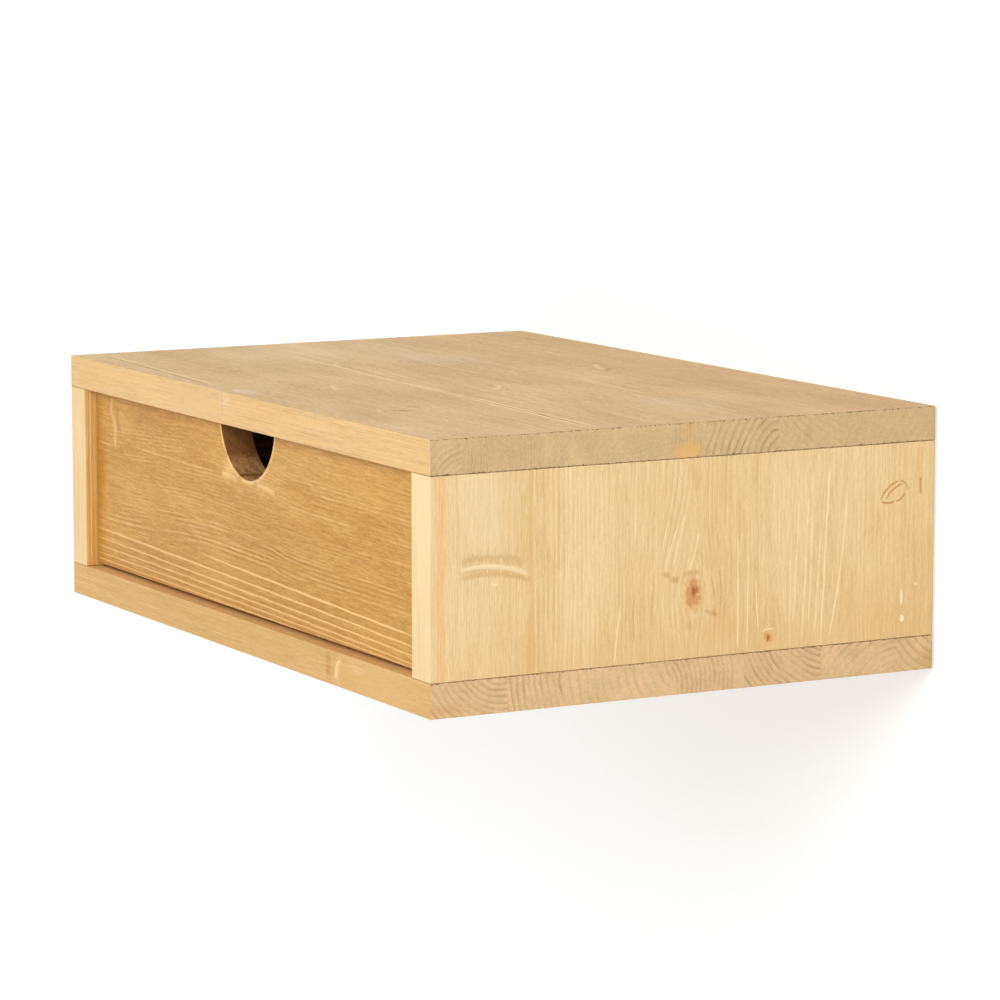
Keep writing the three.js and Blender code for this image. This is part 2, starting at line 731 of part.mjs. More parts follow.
// One slide: an outer rail on the box, a middle rail, an inner rail on the drawer, two ball cages,
// a release lever and a bumper.
function addSlide(parent, side) {
  const frame = slideFrame(side);
  parent.add(frame);
  const mid = (length) => new THREE.Vector3(0, length / 2, 0);

  const outerHoles = railScrews("outer").map(({ outward, place }) =>
    screwHole(slideScrew, outward, place),
  );
  const outerRail = extrudeAlongY(outerOutline(), slideLength);
  addPiece(frame, `${side}_slide_outer_rail`, zincSteel, outerRail, mid(slideLength), outerHoles);

  const accessHoles = slideScrewPlaces.map(([, y]) => {
    const start = new THREE.Vector3(middleWebX - cageClearance, y, 0);
    return rod(start, right, middleSteel + cutOverrun, accessHoleRadius);
  });
  const middleRail = extrudeAlongY(middleOutline(), runnerLength);
  addPiece(frame, `${side}_slide_middle_rail`, zincSteel, middleRail, mid(runnerLength), accessHoles);

  const leverX = innerWebX - leverClearance - leverThickness / 2;
  const pinReach = leverThickness + 2 * leverClearance;
  const pivot = new THREE.Vector3(innerWebX, leverPivotSetBack, 0);
  const headBase = pivot.clone().addScaledVector(left, pinReach);
  const root = pivot.clone().addScaledVector(right, innerSteel / 2);
  const rivet = [
    rod(root, left, pinReach + innerSteel, leverPivotRadius),
    rod(headBase, left, leverHeadHeight, leverHeadRadius),
  ];
  const innerHoles = railScrews("inner").map(({ outward, place }) =>
    screwHole(slideScrew, outward, place),
  );
  const innerRail = extrudeAlongY(innerOutline(), runnerLength);
  addPiece(
    frame,
    `${side}_slide_inner_rail`,
    zincSteel,
    innerRail,
    mid(runnerLength),
    innerHoles,
    rivet,
  );

  const outerCage = [outerCageX, outerBallX, outerBallRise];
  const innerCage = [innerCageX, innerBallX, innerBallRise];
  const outerCageStart = slideLength * outerCageStartShare;
  const innerCageStart = slideLength * innerCageStartShare;
  addCage(frame, `${side}_slide_outer_cage`, ...outerCage, outerCageStart, outerCageLength);
  addCage(frame, `${side}_slide_inner_cage`, ...innerCage, innerCageStart, innerCageLength);

  const leverPlace = new THREE.Vector3(leverX, leverPivotSetBack, 0);
  const lever = extrudeAlongX(leverOutline(), leverThickness);
  addPiece(frame, `${side}_slide_release_lever`, blackPlastic, lever, leverPlace);

  const bumper = span(
    [outerSteel + slideClearance, slideLength - bumperThickness, -middleTop],
    [outerReach - lipWidth, slideLength, middleTop],
  );
  const pad = easedBoard(bumper.size, boxArris);
  addPiece(frame, `${side}_slide_bumper`, blackPlastic, pad, bumper.centre);

  for (const rail of ["outer", "inner"])
    for (const { end, outward, place } of railScrews(rail))
      addScrew(frame, `${side}_${rail}_rail_${end}_screw`, slideScrew, outward, place);
}

const nightstand = new THREE.Group();
nightstand.name = "floating_nightstand";
addCarcass(nightstand);
addDrawer(nightstand);
for (const side of ["left", "right"]) addSlide(nightstand, side);

export default nightstand;
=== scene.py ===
"""Looks of the floating nightstand: knotty spruce boards, a drawer on ball slides, hangers behind."""

import itertools
import logging
import math
from collections.abc import Callable
from dataclasses import dataclass, field
from enum import Enum
from functools import partial, reduce

import bmesh
import bpy
from mathutils import Matrix, Vector, noise


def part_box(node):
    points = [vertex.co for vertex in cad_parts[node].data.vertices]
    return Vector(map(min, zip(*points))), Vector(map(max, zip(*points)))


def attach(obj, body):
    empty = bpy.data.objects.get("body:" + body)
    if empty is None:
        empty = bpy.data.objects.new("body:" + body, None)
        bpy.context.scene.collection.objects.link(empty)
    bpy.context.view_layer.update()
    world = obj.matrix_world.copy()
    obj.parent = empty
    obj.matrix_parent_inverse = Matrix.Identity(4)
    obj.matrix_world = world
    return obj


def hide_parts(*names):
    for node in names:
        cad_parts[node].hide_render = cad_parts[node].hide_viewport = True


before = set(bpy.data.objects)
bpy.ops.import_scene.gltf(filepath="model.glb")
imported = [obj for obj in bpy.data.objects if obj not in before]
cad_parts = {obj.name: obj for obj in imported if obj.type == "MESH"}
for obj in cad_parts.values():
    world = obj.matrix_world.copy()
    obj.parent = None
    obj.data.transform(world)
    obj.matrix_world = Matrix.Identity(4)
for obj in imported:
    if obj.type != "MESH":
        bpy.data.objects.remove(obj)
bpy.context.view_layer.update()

Socket = bpy.types.NodeSocket
Value = Socket | float | tuple | Vector
Colour = tuple[float, float, float, float]
Pair = tuple[float, float]
Triple = tuple[float, float, float]

LOG = logging.getLogger("nightstand")
MM = 0.001
CLEARANCE = 0.15  # room round a dowel or a screw, in millimetres
RAIL_SCREW_RADIUS = 1.75
HOLE_SIDES = 24
SMOOTH_BELOW = math.radians(35)  # shallower edges are shaded smooth
FACING = (0.55, 0.8)  # how squarely a face looks along an axis, where it starts and ends to count
CHIP_SCALE = (0.02, 0.75, 0.02)  # chips of an arris for each millimetre along X, Y and Z
CHIP_START = (7.3, 1.1, 4.9)
CHIP_LEAST = 0.12  # chips weaker than this stay away
CHIP_DEPTH = 0.63  # millimetres for a chip of full strength
RIM_DEPTH = 0.16  # dip round a knot in millimetres, with its place and width in sizes of the knot
RIM_STRETCH = (1.5, 1.3)
RIM_RADIUS, RIM_WIDTH = 0.85, 0.28

# The sizes of the wood's patterns across, through and along the grain, in millimetres
FIBRE, PORES, HAZE = (0.5, 0.5, 9), (0.5, 0.5, 40), (30, 30, 90)
SWEEP, WAVE, RIPPLET = (55, 55, 240), (9, 9, 50), (2.5, 2.5, 11)
CLOUD, BAND, THREAD = (38, 38, 100), (4.5, 4.5, 240), (1.3, 1.3, 50)
FLECK, SPECK = (0.7, 0.7, 9), (0.8, 0.8, 2.2)
LINE_FADE, LINE_BREAK = (7, 7, 42), (1.1, 1.1, 6)
END_FADE, END_CLOUD, END_FIBRE, END_PORES = (12, 12, 60), (14, 14, 60), (0.7, 0.7, 6), (2.4, 2.4, 20)
TORN, TORN_END, TINT_THREADS = (3, 3, 16), (1.3, 14, 16), (0.9, 0.9, 70)
KNOT_RAGGED = (2.2, 2.2, 3.4)
STROKE_DRIFT, STROKE_GAPS, STROKE_SPIKES = (4, 4, 18), (1.6, 1.6, 6), (1.0, 1.0, 90)
CRUMB_REACH, CRUMB_GAPS = (1.0, 30, 30), (6, 60, 60)


def paint(*channels: float) -> Colour:
    """Turns red, green and blue as they look, 0 to 255, into the linear colour of a shader.

    Args:
        channels: Red, green and blue.

    Returns:
        The colour, with a full last channel.
    """
    shares = (channel / 255 for channel in channels)
    curve = (share / 12.92 if share <= 0.04045 else ((share + 0.055) / 1.055) ** 2.4 for share in shares)
    return (*curve, 1.0)


def spaced(start: float, end: float, count: int) -> list[float]:
    """Divides a stretch into even steps, both ends included."""
    return [start + (end - start) * turn / count for turn in range(count + 1)]


def names(*parts: str) -> list[str]:
    """Writes names out from their parts, where a part may offer choices, as in left|right."""
    return ["_".join(words) for words in itertools.product(*(part.split("|") for part in parts))]


def corners(node: str) -> tuple[Vector, Vector]:
    """Finds the lowest and the highest corner of a part of the frame, in millimetres."""
    low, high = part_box(node)
    return low / MM, high / MM


class Nodes:
    """A node tree being built, with short ways to add the sums and patterns that the finishes share."""

    def __init__(self, tree: bpy.types.NodeTree) -> None:
        """Empties the tree that the nodes go into."""
        self.tree = tree
        tree.nodes.clear()

    def put(self, socket: Socket, value: Value) -> None:
        """Links a value into a socket, or sets the socket to it where it is a constant.

        Args:
            socket: The input.
            value: What it gets.
        """
        if isinstance(value, Socket):
            self.tree.links.new(value, socket)
        elif isinstance(value, (tuple, Vector)):
            socket.default_value = tuple(value)[: len(socket.default_value)]
        else:
            socket.default_value = value

    def node(self, kind: str, inputs: dict[int | str, Value], **settings: object) -> bpy.types.NodeOutputs:
        """Adds a node.

        Args:
            kind: Type of the node, without the words that all types begin with.
            inputs: Values of its inputs, by place or name.
            settings: Properties of the node.

        Returns:
            Its outputs.
        """
        made = self.tree.nodes.new("ShaderNode" + kind)
        for name, value in settings.items():
            setattr(made, name, value)
        for key, value in inputs.items():
            self.put(made.inputs[key], value)
        return made.outputs

    def math(self, operation: str, *values: Value, clamp: bool = False) -> Socket:
        """Adds one sum on numbers, whose result stays between 0 and 1 if it is clamped."""
        return self.node("Math", dict(enumerate(values)), operation=operation, use_clamp=clamp)[0]

    def vector(self, operation: str, *values: Value) -> Socket:
        """Adds one sum on vectors, with a number as the result of a length or a dot product."""
        result = "Value" if operation in ("LENGTH", "DOT_PRODUCT") else "Vector"
        return self.node("VectorMath", dict(enumerate(values)), operation=operation)[result]

    def parts(self, vector: Value) -> bpy.types.NodeOutputs:
        """Splits a vector into its three numbers."""
        return self.node("SeparateXYZ", {0: vector})

    def joined(self, *numbers: Value) -> Socket:
        """Makes a vector of two or three numbers."""
        return self.node("CombineXYZ", dict(enumerate(numbers)))[0]

    def product(self, *values: Value) -> Value:
        """Multiplies numbers."""
        return reduce(partial(self.math, "MULTIPLY"), values)

    def total(self, *values: Value) -> Value:
        """Adds numbers up."""
        return reduce(partial(self.math, "ADD"), values)

    def most(self, *values: Value) -> Value:
        """Takes the largest of several numbers."""
        return reduce(partial(self.math, "MAXIMUM"), values)

    def weighted(self, *terms: tuple[Value, float], base: float = 0.0) -> Value:
        """Adds numbers to a base, each of them times its weight."""
        weighed = [self.product(*term) for term in terms]
        return self.total(base, *weighed) if base else self.total(*weighed)

    def rest(self, share: Value) -> Socket:
        """Gives what a share leaves of 1."""
        return self.math("SUBTRACT", 1.0, share)

    def size(self, number: Value) -> Socket:
        """Gives a number without its sign."""
        return self.math("ABSOLUTE", number)

    def clamped(self, number: Value) -> Socket:
        """Keeps a number between 0 and 1."""
        return self.math("ADD", number, 0.0, clamp=True)

    def noise(
        self, place: Value, sizes: Triple, detail: float = 2.0, rough: float = 0.5, bend: float = 0.0
    ) -> Socket:
        """Adds soft noise about 0.5.

        Args:
            place: Where it is read, in millimetres.
            sizes: Size of its features along each axis, in millimetres.
            detail: Number of finer layers.
            rough: Strength of the finer layers.
            bend: How far it distorts itself.

        Returns:
            The noise.
        """
        scaled = self.vector("MULTIPLY", place, tuple(1 / size for size in sizes))
        inputs = {"Vector": scaled, "Scale": 1.0, "Detail": detail, "Roughness": rough, "Distortion": bend}
        return self.node("TexNoise", inputs)[0]

    def swing(
        self, place: Value, sizes: Triple, amount: float, detail: float = 2.0, rough: float = 0.55
    ) -> Socket:
        """Adds noise that swings evenly about 0, by half of an amount to each side."""
        return self.math("MULTIPLY_ADD", self.noise(place, sizes, detail, rough), amount, -amount / 2)

    def step(self, value: Value, low: float, high: float, bottom: float = 0.0, top: float = 1.0) -> Socket:
        """Adds a soft step.

        Args:
            value: What is compared.
            low: Where the step starts.
            high: Where it ends.
            bottom: Result before the step.
            top: Result after it.

        Returns:
            The step.
        """
        inputs = dict(enumerate((value, low, high, bottom, top)))
        return self.node("MapRange", inputs, interpolation_type="SMOOTHSTEP")[0]

    def fall(self, value: Value, low: float, high: float, top: float = 1.0) -> Socket:
        """Adds a soft step down to 0."""
        return self.step(value, low, high, top, 0.0)

    def mix(self, share: Value, under: Value, over: Value) -> Socket:
        """Mixes a share of one colour over another."""
        return self.node("Mix", {0: share, 6: under, 7: over}, data_type="RGBA")[2]

    def seen(self, rays: bpy.types.NodeOutputs) -> Socket:
        """Finds whether light is looked at, itself, in a reflection or through glass."""
        kinds = ("Is Camera Ray", "Is Glossy Ray", "Is Transmission Ray")
        return self.math("MINIMUM", self.total(*(rays[kind] for kind in kinds)), 1.0)


class Finish(Nodes):
    """A material being built, which knows the place on its piece in millimetres."""

    def __init__(self, name: str) -> None:
        """Starts the material, with its shader and its output.

        Args:
            name: Name of the material.
        """
        self.material = bpy.data.materials.new(name)
        self.material.use_nodes = True
        super().__init__(self.material.node_tree)
        self.shader = self.tree.nodes.new("ShaderNodeBsdfPrincipled")
        self.output = self.tree.nodes.new("ShaderNodeOutputMaterial")
        self.put(self.output.inputs[0], self.shader.outputs[0])
        self.coordinates = self.node("TexCoord", {})
        self.place = self.vector("MULTIPLY", self.coordinates["Object"], (1 / MM,) * 3)

    def surface(
        self,
        colour: Value,
        rough: Value,
        height: Value,
        depth: float,
        specular: float = 0.5,
        metallic: float = 0.0,
    ) -> bpy.types.Material:
        """Sets what the surface looks like.

        Args:
            colour: Its colour.
            rough: Its roughness.
            height: The pattern that raises it, 0 to 1.
            depth: Height of the pattern in millimetres.
            specular: Level of the clear reflection.
            metallic: 1 for metal, 0 for the rest.

        Returns:
            The material.
        """
        bump = self.node("Bump", {"Strength": 1.0, "Distance": depth * MM, "Height": height})[0]
        looks = {"Base Color": colour, "Roughness": rough, "Normal": bump}
        looks |= {"Specular IOR Level": specular, "Metallic": metallic}
        for name, value in looks.items():
            self.put(self.shader.inputs[name], value)
        return self.material


class Lay(Enum):
    """How a board lies: the axes across its grain, through its thickness and along its grain."""

    SHELF = (1, 2, 0)
    UPRIGHT = (1, 0, 2)
    FASCIA = (2, 1, 0)
    RUNNER = (2, 0, 1)


class Face(Enum):
    """Which faces of a board a mark shows on, and so which two axes its place is given on."""

    LONG = "across and along the grain"
    END = "across the grain and through the board"
    EDGE = "through the board and along the grain"


class Mark(Enum):
    """What a stroke in the wood looks like."""

    SHADE = "a dull hollow"
    BROWN = "a thin brown line"
    PALE = "a raised pale fibre"


@dataclass(frozen=True)
class Stave:
    """One glued strip of a board.

    Attributes:
        start: Where the strip begins across the board, in millimetres.
        heart_across: Where the log's heart lies across the board.
        heart_through: Where it lies through the board.
        ring: Distance between growth rings.
        lean_across: How far the heart moves across for each millimetre along.
        lean_through: How far it moves through.
        lines: Strength of the light lines on the long faces.
        tone: Lighter above 0, darker below.
        rings: Strength of the dark rings on the end.
    """

    start: float
    heart_across: float
    heart_through: float
    ring: float
    lean_across: float
    lean_through: float
    lines: float
    tone: float = 0.0
    rings: float = 1.0


@dataclass(frozen=True)
class Knot:
    """A branch cut through by the board's face.

    Attributes:
        place: Middle of the knot, across and along the grain, in millimetres.
        size: Half its size across and along the grain.
        reach: How far the grain bends round it, across and along.
        pull: How strongly the grain bends, 0 to 1.
        depth: How dark it is, 0 to 1.
        heart: Its heart's place off its middle.
        core: Half the heart's size across and along.
    """

    place: Pair
    size: Pair
    reach: Pair
    pull: float
    depth: float
    heart: Pair
    core: Pair


@dataclass(frozen=True)
class Fold:
    """A stretch of a board where the grain drifts sideways.

    Attributes:
        low: Across the board, from where to where the drift sets in, in millimetres.
        high: From where to where it ends again, or nothing.
        along: Along the board, from where to where it grows.
        shift: How far the grain has drifted in the end.
    """

    low: Pair
    high: Pair | None
    along: Pair
    shift: float


@dataclass(frozen=True)
class Tint:
    """A soft patch of another colour.

    Attributes:
        place: Middle of the patch, on the two axes of its face, in millimetres.
        size: Half its size the same way.
        colour: Its colour.
        face: Which faces it shows on.
        strength: How much of the colour shows.
        soft: Share of its size over which it fades.
        ragged: How uneven its edge is.
        turn: Its turn in degrees.
        above: Place on the axis that its face looks along, above which alone it shows.
    """

    place: Pair
    size: Pair
    colour: Colour
    face: Face
    strength: float
    soft: float = 0.5
    ragged: float = 0.5
    turn: float = 0.0
    above: float | None = None


@dataclass(frozen=True)
class Stroke:
    """A single line in the wood.

    Attributes:
        start: Where it starts, on the two axes of its face, in millimetres.
        end: Where it ends.
        mark: What it looks like.
        face: Which faces it shows on.
        width: Half its width in millimetres.
        strength: How strongly it shows.
        bow: How far its middle stands off the straight line, to the left of its run.
        broken: How much of it is missing, 0 to 1.
        sway: How far it wanders.
        fringe: Length of the spikes along one of its sides.
    """

    start: Pair
    end: Pair
    mark: Mark
    face: Face
    width: float
    strength: float = 0.7
    bow: float = 0.0
    broken: float = 0.5
    sway: float = 0.9
    fringe: float = 0.0


@dataclass(frozen=True)
class Palette:
    """The colours of one kind of spruce.

    Attributes:
        dark: Darkest of the long faces.
        light: Lightest of the long faces.
        line: The light lines between the growth rings.
        shade: The shade beside those lines.
        end_dark: Rings on the ends.
        end_light: Ground of the ends.
    """

    dark: Colour
    light: Colour
    line: Colour
    shade: Colour
    end_dark: Colour
    end_light: Colour


def each(kind: type, *rows: tuple) -> tuple:
    """Makes one thing of a kind from each row, which gives its fields in order."""
    return tuple(kind(*row) for row in rows)


def palette(*colours: Triple) -> Palette:
    """Makes a palette from its colours as they look, in order."""
    return Palette(*(paint(*colour) for colour in colours))


def tints(face: Face, *rows: tuple[float, ...]) -> tuple[Tint, ...]:
    """Makes patches from rows of place, half size, red, green, blue, strength and the fields after it."""
    return tuple(Tint(row[:2], row[2:4], paint(*row[4:7]), face, *row[7:]) for row in rows)


def strokes(mark: Mark, face: Face, *rows: tuple[float, ...]) -> tuple[Stroke, ...]:
    """Makes lines from rows of start, end, half width and the fields after it."""
    return tuple(Stroke(row[:2], row[2:4], mark, face, *row[4:]) for row in rows)


KNOT_HEART, KNOT_WOOD, KNOT_RIM = paint(172, 100, 48), paint(212, 146, 86), paint(228, 178, 118)
THIN_BROWN, JOINT_DARK = paint(204, 146, 84), paint(74, 50, 20)

PALE = palette(
    (216, 178, 116), (246, 218, 166), (252, 228, 178), (202, 162, 100), (184, 142, 88), (220, 188, 138)
)
SHELF_WOOD = palette(
    (196, 157, 106), (232, 198, 147), (246, 216, 168), (184, 142, 88), (164, 124, 74), (212, 182, 133)
)
LOWER_WOOD = palette(
    (202, 158, 96), (234, 195, 134), (246, 212, 154), (190, 146, 88), (172, 124, 74), (222, 188, 138)
)
# The end colours are this dark partly as painted shade, for the shadowed walls of the pull.
FRONT_WOOD = palette(
    (180, 124, 52), (217, 168, 93), (248, 204, 138), (164, 108, 48), (92, 58, 26), (146, 100, 52)
)
DRAWER_WOOD = palette(
    (216, 180, 124), (242, 214, 164), (250, 228, 184), (206, 168, 112), (176, 134, 84), (220, 188, 140)
)

TOP_STAVES = each(
    Stave,
    (-301, -281, 44, 3.3, 0.01, 0, 0.3, 0, 0.5), (-281.5, -420, 60, 1.7, 0.015, 0.01, 0.35, 0.02, 0.55),
    (-236, -150, -20, 2.6, -0.03, 0.02, 0.45, 0.04, 0.18),
    (-161.5, -330, 58, 2.2, 0, 0.01, 0.35, 0.05, 0.55), (-142.5, -96, 42.5, 4.1, 0.01, 0.02, 0.5),
    (-97, -50, 104, 3.6, 0.02, 0, 0.4, 0.04, 0.3), (-58, 20, 30, 5, 0, 0, 0.4, -0.06, 0.2),
)
BOTTOM_STAVES = each(
    Stave,
    (-301, -259, -38, 3.2, 0, 0.01, 0.35, 0, 0.75), (-256.5, -159, -50, 3.6, 0.02, 0, 0.4, 0.05, 1.1),
    (-225, -159, -50, 4.5, 0.02, 0, 0.4, 0.08, 0.4), (-161, -172, -71, 2.7, 0, 0.02, 0.4, 0.08, 0.6),
    (-124, -172, -71, 7, 0, 0.02, 0.3, 0.1, 0.15), (-117, -68, -32, 3.1, 0.02, 0, 0.4, -0.02),
    (-70, -12, -105, 3.6, 0, 0.01, 0.4, 0.08, 0.55), (-23.6, 14, -30, 4.2, 0, 0, 0.4, -0.05, 0.7),
)
RIGHT_STAVES = each(
    Stave,
    (-301, -420, 214, 1.6, 0, 0, 0.35, 0.08), (-243.5, -420, 190, 2.6, 0.008, 0, 0.6, 0.02),
    (-196, -420, 200, 2.1, 0.012, 0, 0.45), (-166, -400, 180, 2.9, 0.012, 0, 0.8, -0.02),
    (-125, -400, 200, 4.6, 0, 0, 0.45), (-100, -400, 200, 5.6, 0.03, 0, 0.2, 0.03),
    (-50, -260, 200, 2.5, 0.01, 0, 0.3, 0.05),
)
LEFT_STAVES = each(
    Stave,
    (-301, -280, -170, 2.2, 0, 0.02, 0.7, -0.05), (-248, -330, -200, 2.4, 0.01, 0, 0.4, 0.05),
    (-180, -150, -240, 2.6, 0, 0.03, 0.7), (-104, -220, -190, 2.9, -0.02, 0, 0.6, 0.06),
    (-52, 10, -170, 3, 0.03, 0, 0.7, -0.02),
)
FRONT_STAVES = each(
    Stave,
    (-80, 5, -232, 2.3, 0, 0, 0.35, 0.05), (-30.7, 170, -130, 2, 0, 0, 0.75),
    (-16, 170, -130, 1.45, 0, 0, 0.3, -0.02),
)
BACK_STAVES = each(
    Stave,
    (-60, -90, 20, 2.6, 0.02, 0.03, 0.8), (-8, 60, -70, 3, -0.02, 0.02, 0.7, 0.04),
)
DRAWER_SIDE_STAVES = each(
    Stave,
    (-60, -70, 150, 2.6, 0.03, 0.05, 0.6), (2, 80, 160, 2.4, -0.02, 0.04, 0.5, 0.06),
)
DRAWER_BACK_STAVES = each(
    Stave,
    (-60, -40, 20, 3.2, 0.02, 0.04, 0.6, 0.03),
)
TOP_TINTS = (
    *tints(
        Face.END,
        (-152, 55.5, 10, 6, 234, 180, 100, 0.85, 0.5, 1.3),
        (-152, 66, 9, 6, 222, 176, 108, 0.45, 0.8, 1.3), (-79, 60, 5, 8, 176, 136, 84, 0.45, 0.9),
        (-8, 61, 9, 12, 206, 164, 108, 0.3, 0.9),
    ),
    *tints(
        Face.LONG,
        # The first two rows paint whitish haze, a painted reflection of the room on the satin top.
        (-122, -110, 36, 62, 234, 214, 190, 0.5, 0.95, 0.9),
        (-112, 150, 28, 58, 230, 210, 182, 0.45, 0.95, 0.9),
        (-290, -8, 9, 18, 238, 214, 194, 0.7, 0.8, 0.8), (-70, -218, 130, 14, 232, 188, 130, 0.4, 0.9),
        (-170, -170, 110, 80, 240, 211, 174, 0.55, 0.95), (-30, -40, 34, 160, 226, 194, 154, 0.4, 0.95),
        (-40, 60, 40, 90, 198, 158, 106, 0.35, 0.95),
    ),
    *tints(
        Face.EDGE,
        (61, 0, 60, 400, 238, 197, 132, 0.8, 0.2, 0), (61, -62, 24, 46, 224, 190, 138, 0.45, 0.8),
        (66, -14, 8, 10, 240, 214, 174, 0.5, 0.8),
    ),
)
BOTTOM_TINTS = (
    *tints(
        Face.END,
        (-298, -66, 34, 5, 208, 150, 88, 0.45, 0.9), (-100, -71, 240, 2.6, 208, 152, 92, 0.5, 0.9, 0.25),
        (0, -64, 16, 9, 198, 146, 86, 0.6, 0.9),
    ),
    *tints(
        Face.EDGE,
        (-61, 0, 60, 400, 206, 160, 88, 0.65, 0.2, 0), (-61, 160, 30, 70, 230, 188, 122, 0.4, 0.8),
        (-60, 111, 12, 4.8, 190, 134, 66, 0.85, 0.8, 0.8),
        (-60.5, 121.5, 12, 3.4, 240, 208, 152, 0.6, 0.8, 0.9, 28),
        (-57, 144, 5, 16, 234, 204, 150, 0.5, 0.9),
    ),
    *tints(
        Face.LONG,
        (-296, 0, 4.5, 260, 206, 156, 98, 0.5, 0.3, 0.5, 0, -53),
    ),
)
RIGHT_TINTS = (
    *tints(
        Face.EDGE,
        (215, 0, 60, 300, 252, 224, 174, 0.6, 0.2, 0),
    ),
    *tints(
        Face.LONG,
        (-150, -68, 300, 50, 220, 178, 112, 0.6, 0.95, 0.2), (-268, 32, 27, 40, 240, 218, 174, 0.5, 0.9),
        (-294.2, 0, 4.6, 300, 236, 178, 106, 0.6, 0.95, 0.8),
        (-243.2, 0, 2.2, 300, 224, 174, 96, 0.5, 0.9), (-244, -44, 7.5, 28, 224, 172, 96, 0.35, 0.9),
        (-9.2, 42, 2.4, 26, 226, 172, 94, 0.55, 0.8), (-3, -10, 2.4, 300, 236, 186, 112, 0.3, 0.9),
        (-158.6, -10.4, 3, 2.6, 180, 140, 76, 0.95, 0.8, 1.1),
        (-164.6, -7.2, 3.4, 2, 200, 162, 98, 0.8, 0.8, 1.2),
        (-135.6, -29.4, 3, 2.8, 200, 150, 84, 0.8, 0.8, 1.2),
        (-150, -35, 3.4, 4, 214, 172, 108, 0.7, 0.8, 1.2), (-129, 40, 6, 26, 212, 168, 108, 0.35, 0.9),
        (-130, -36, 15, 13, 224, 166, 104, 0.48, 0.9, 0.9), (-146, 40, 5, 10, 210, 168, 106, 0.35, 0.9),
        (-36, -40, 28, 30, 224, 178, 112, 0.35, 0.9), (-20.2, -30, 1.1, 5, 255, 246, 214, 0.95, 0.5, 0.8),
        (-19.6, -41.5, 1.6, 2.4, 255, 246, 214, 0.95), (-11, -23.6, 1.6, 1, 255, 244, 212, 0.8, 0.6),
    ),
)
LEFT_TINTS = (
    *tints(
        Face.EDGE,
        (-215, 0, 60, 300, 252, 222, 170, 0.6, 0.2, 0),
    ),
    *tints(
        Face.LONG,
        # The first row paints shade and the drawer's warm bounced light on the inner face of the reveal
        # beside the drawer front.
        (-296, 0, 6, 300, 224, 168, 74, 1, 0.3, 0.1, 0, -205.5),
        (-150, 60, 300, 50, 220, 178, 112, 0.4, 0.95, 0.2), (-246, 0, 2.6, 300, 224, 174, 96, 0.45, 0.9),
    ),
)
FRONT_TINTS = (
    *tints(
        Face.LONG,
        # The first row paints warm shade along the drawer front's left end, beside the reveal.
        (0, -206, 110, 18, 196, 128, 44, 0.9, 0.8, 0.9), (10, -198, 14, 6, 186, 116, 36, 0.6, 0.9, 0.9),
        (-12, -190, 14, 9, 228, 180, 108, 0.45, 0.9, 0.7),
        (36, -168, 12, 22, 228, 178, 112, 0.35, 0.9, 0.9), (20, 0, 12, 60, 226, 176, 112, 0.35, 0.9, 0.9),
        (27, -24, 8, 12, 240, 200, 134, 0.7, 0.9, 0.7, -42),
    ),
    *tints(
        Face.EDGE,
        # The first three rows paint the pull's wall dark brown, partly as painted shade of the shadowed
        # cut-out.
        (-284, 0, 60, 34.2, 104, 62, 26, 2, 0.15, 0, 0, 10),
        (-290, -26, 7, 11, 150, 98, 40, 1.1, 0.9, 0.6, 0, 10),
        (-282, -8, 6, 5, 128, 66, 20, 0.6, 0.9, 0.6, 0, 10),
        # A painted highlight along the back arris of the pull's wall.
        (-275.4, 0, 1.5, 34, 140, 118, 92, 0.6, 0.6, 0.1, 0, 10),
    ),
)
TOP_STROKES = (
    *strokes(
        Mark.PALE, Face.LONG,
        (-187, -183, -206, 228, 1.3, 0.8, 0, 0.4), (-193, -20, -201, 228, 1.2, 0.75, 0, 0.4),
        (-281, -216, -291, -40, 1.2, 0.8, 0, 0.4), (-287, -200, -296, -60, 0.6, 0.4),
        (-284, 20, -292, 222, 0.7, 0.4), (-54, -38, -66, -8, 2.4, 0.6, 2, 0.1),
        (-155, 28, -169, 50, 2.4, 0.45, -2, 0.2), (-182, -114, -191, -92, 2.4, 0.45, 1.5, 0.2),
        (-235, -12, -243, 9, 2.2, 0.45, 1, 0.2), (-262, 96, -270, 122, 0.8, 0.5, 2),
        (-46, -112, -50, -86, 1, 0.6), (-110, 100, -118, 172, 0.9, 0.5, 2),
        (-126, -150, -138, -20, 0.8, 0.4, 3),
    ),
    *strokes(
        Mark.SHADE, Face.LONG,
        (-190, -100, -203.6, 228, 1.6, 0.7, 0, 0.4), (-284, -216, -293.6, -40, 1.3, 0.6, 0, 0.4),
    ),
    *strokes(
        Mark.BROWN, Face.LONG,
        (-57, -16, -68, -3, 2.6, 0.7, 0, 0.2), (-157, 44, -164, 56, 0.9, 0.5),
        (-247, -107, -257, -94, 1.9, 0.6, 0, 0.2), (-260, 104, -252, 113, 3, 1, 0, 0.1),
        (-245, 94, -239, 100, 2.4, 0.8, 0, 0.1), (-38, 184, -47, 196, 1.8, 0.5),
        (-11, -12, -18, 8, 2, 0.5),
    ),
    *strokes(
        Mark.SHADE, Face.EDGE,
        (56, -16, 69.5, -17.5, 0.5, 0.4, 0, 0.5, 0.4),
    ),
)
BOTTOM_STROKES = (
    *strokes(
        Mark.PALE, Face.EDGE,
        (-55, 125.5, -66, 119, 0.9, 0.7, 1.6, 0.3), (-57, 120, -70, 124, 0.8, 0.5, 1.2, 0.4),
    ),
    *strokes(
        Mark.BROWN, Face.EDGE,
        (-54, 107.5, -58, 113.5, 1, 0.8, 0.6), (-59, 117, -69, 115.5, 0.8, 0.5),
    ),
)
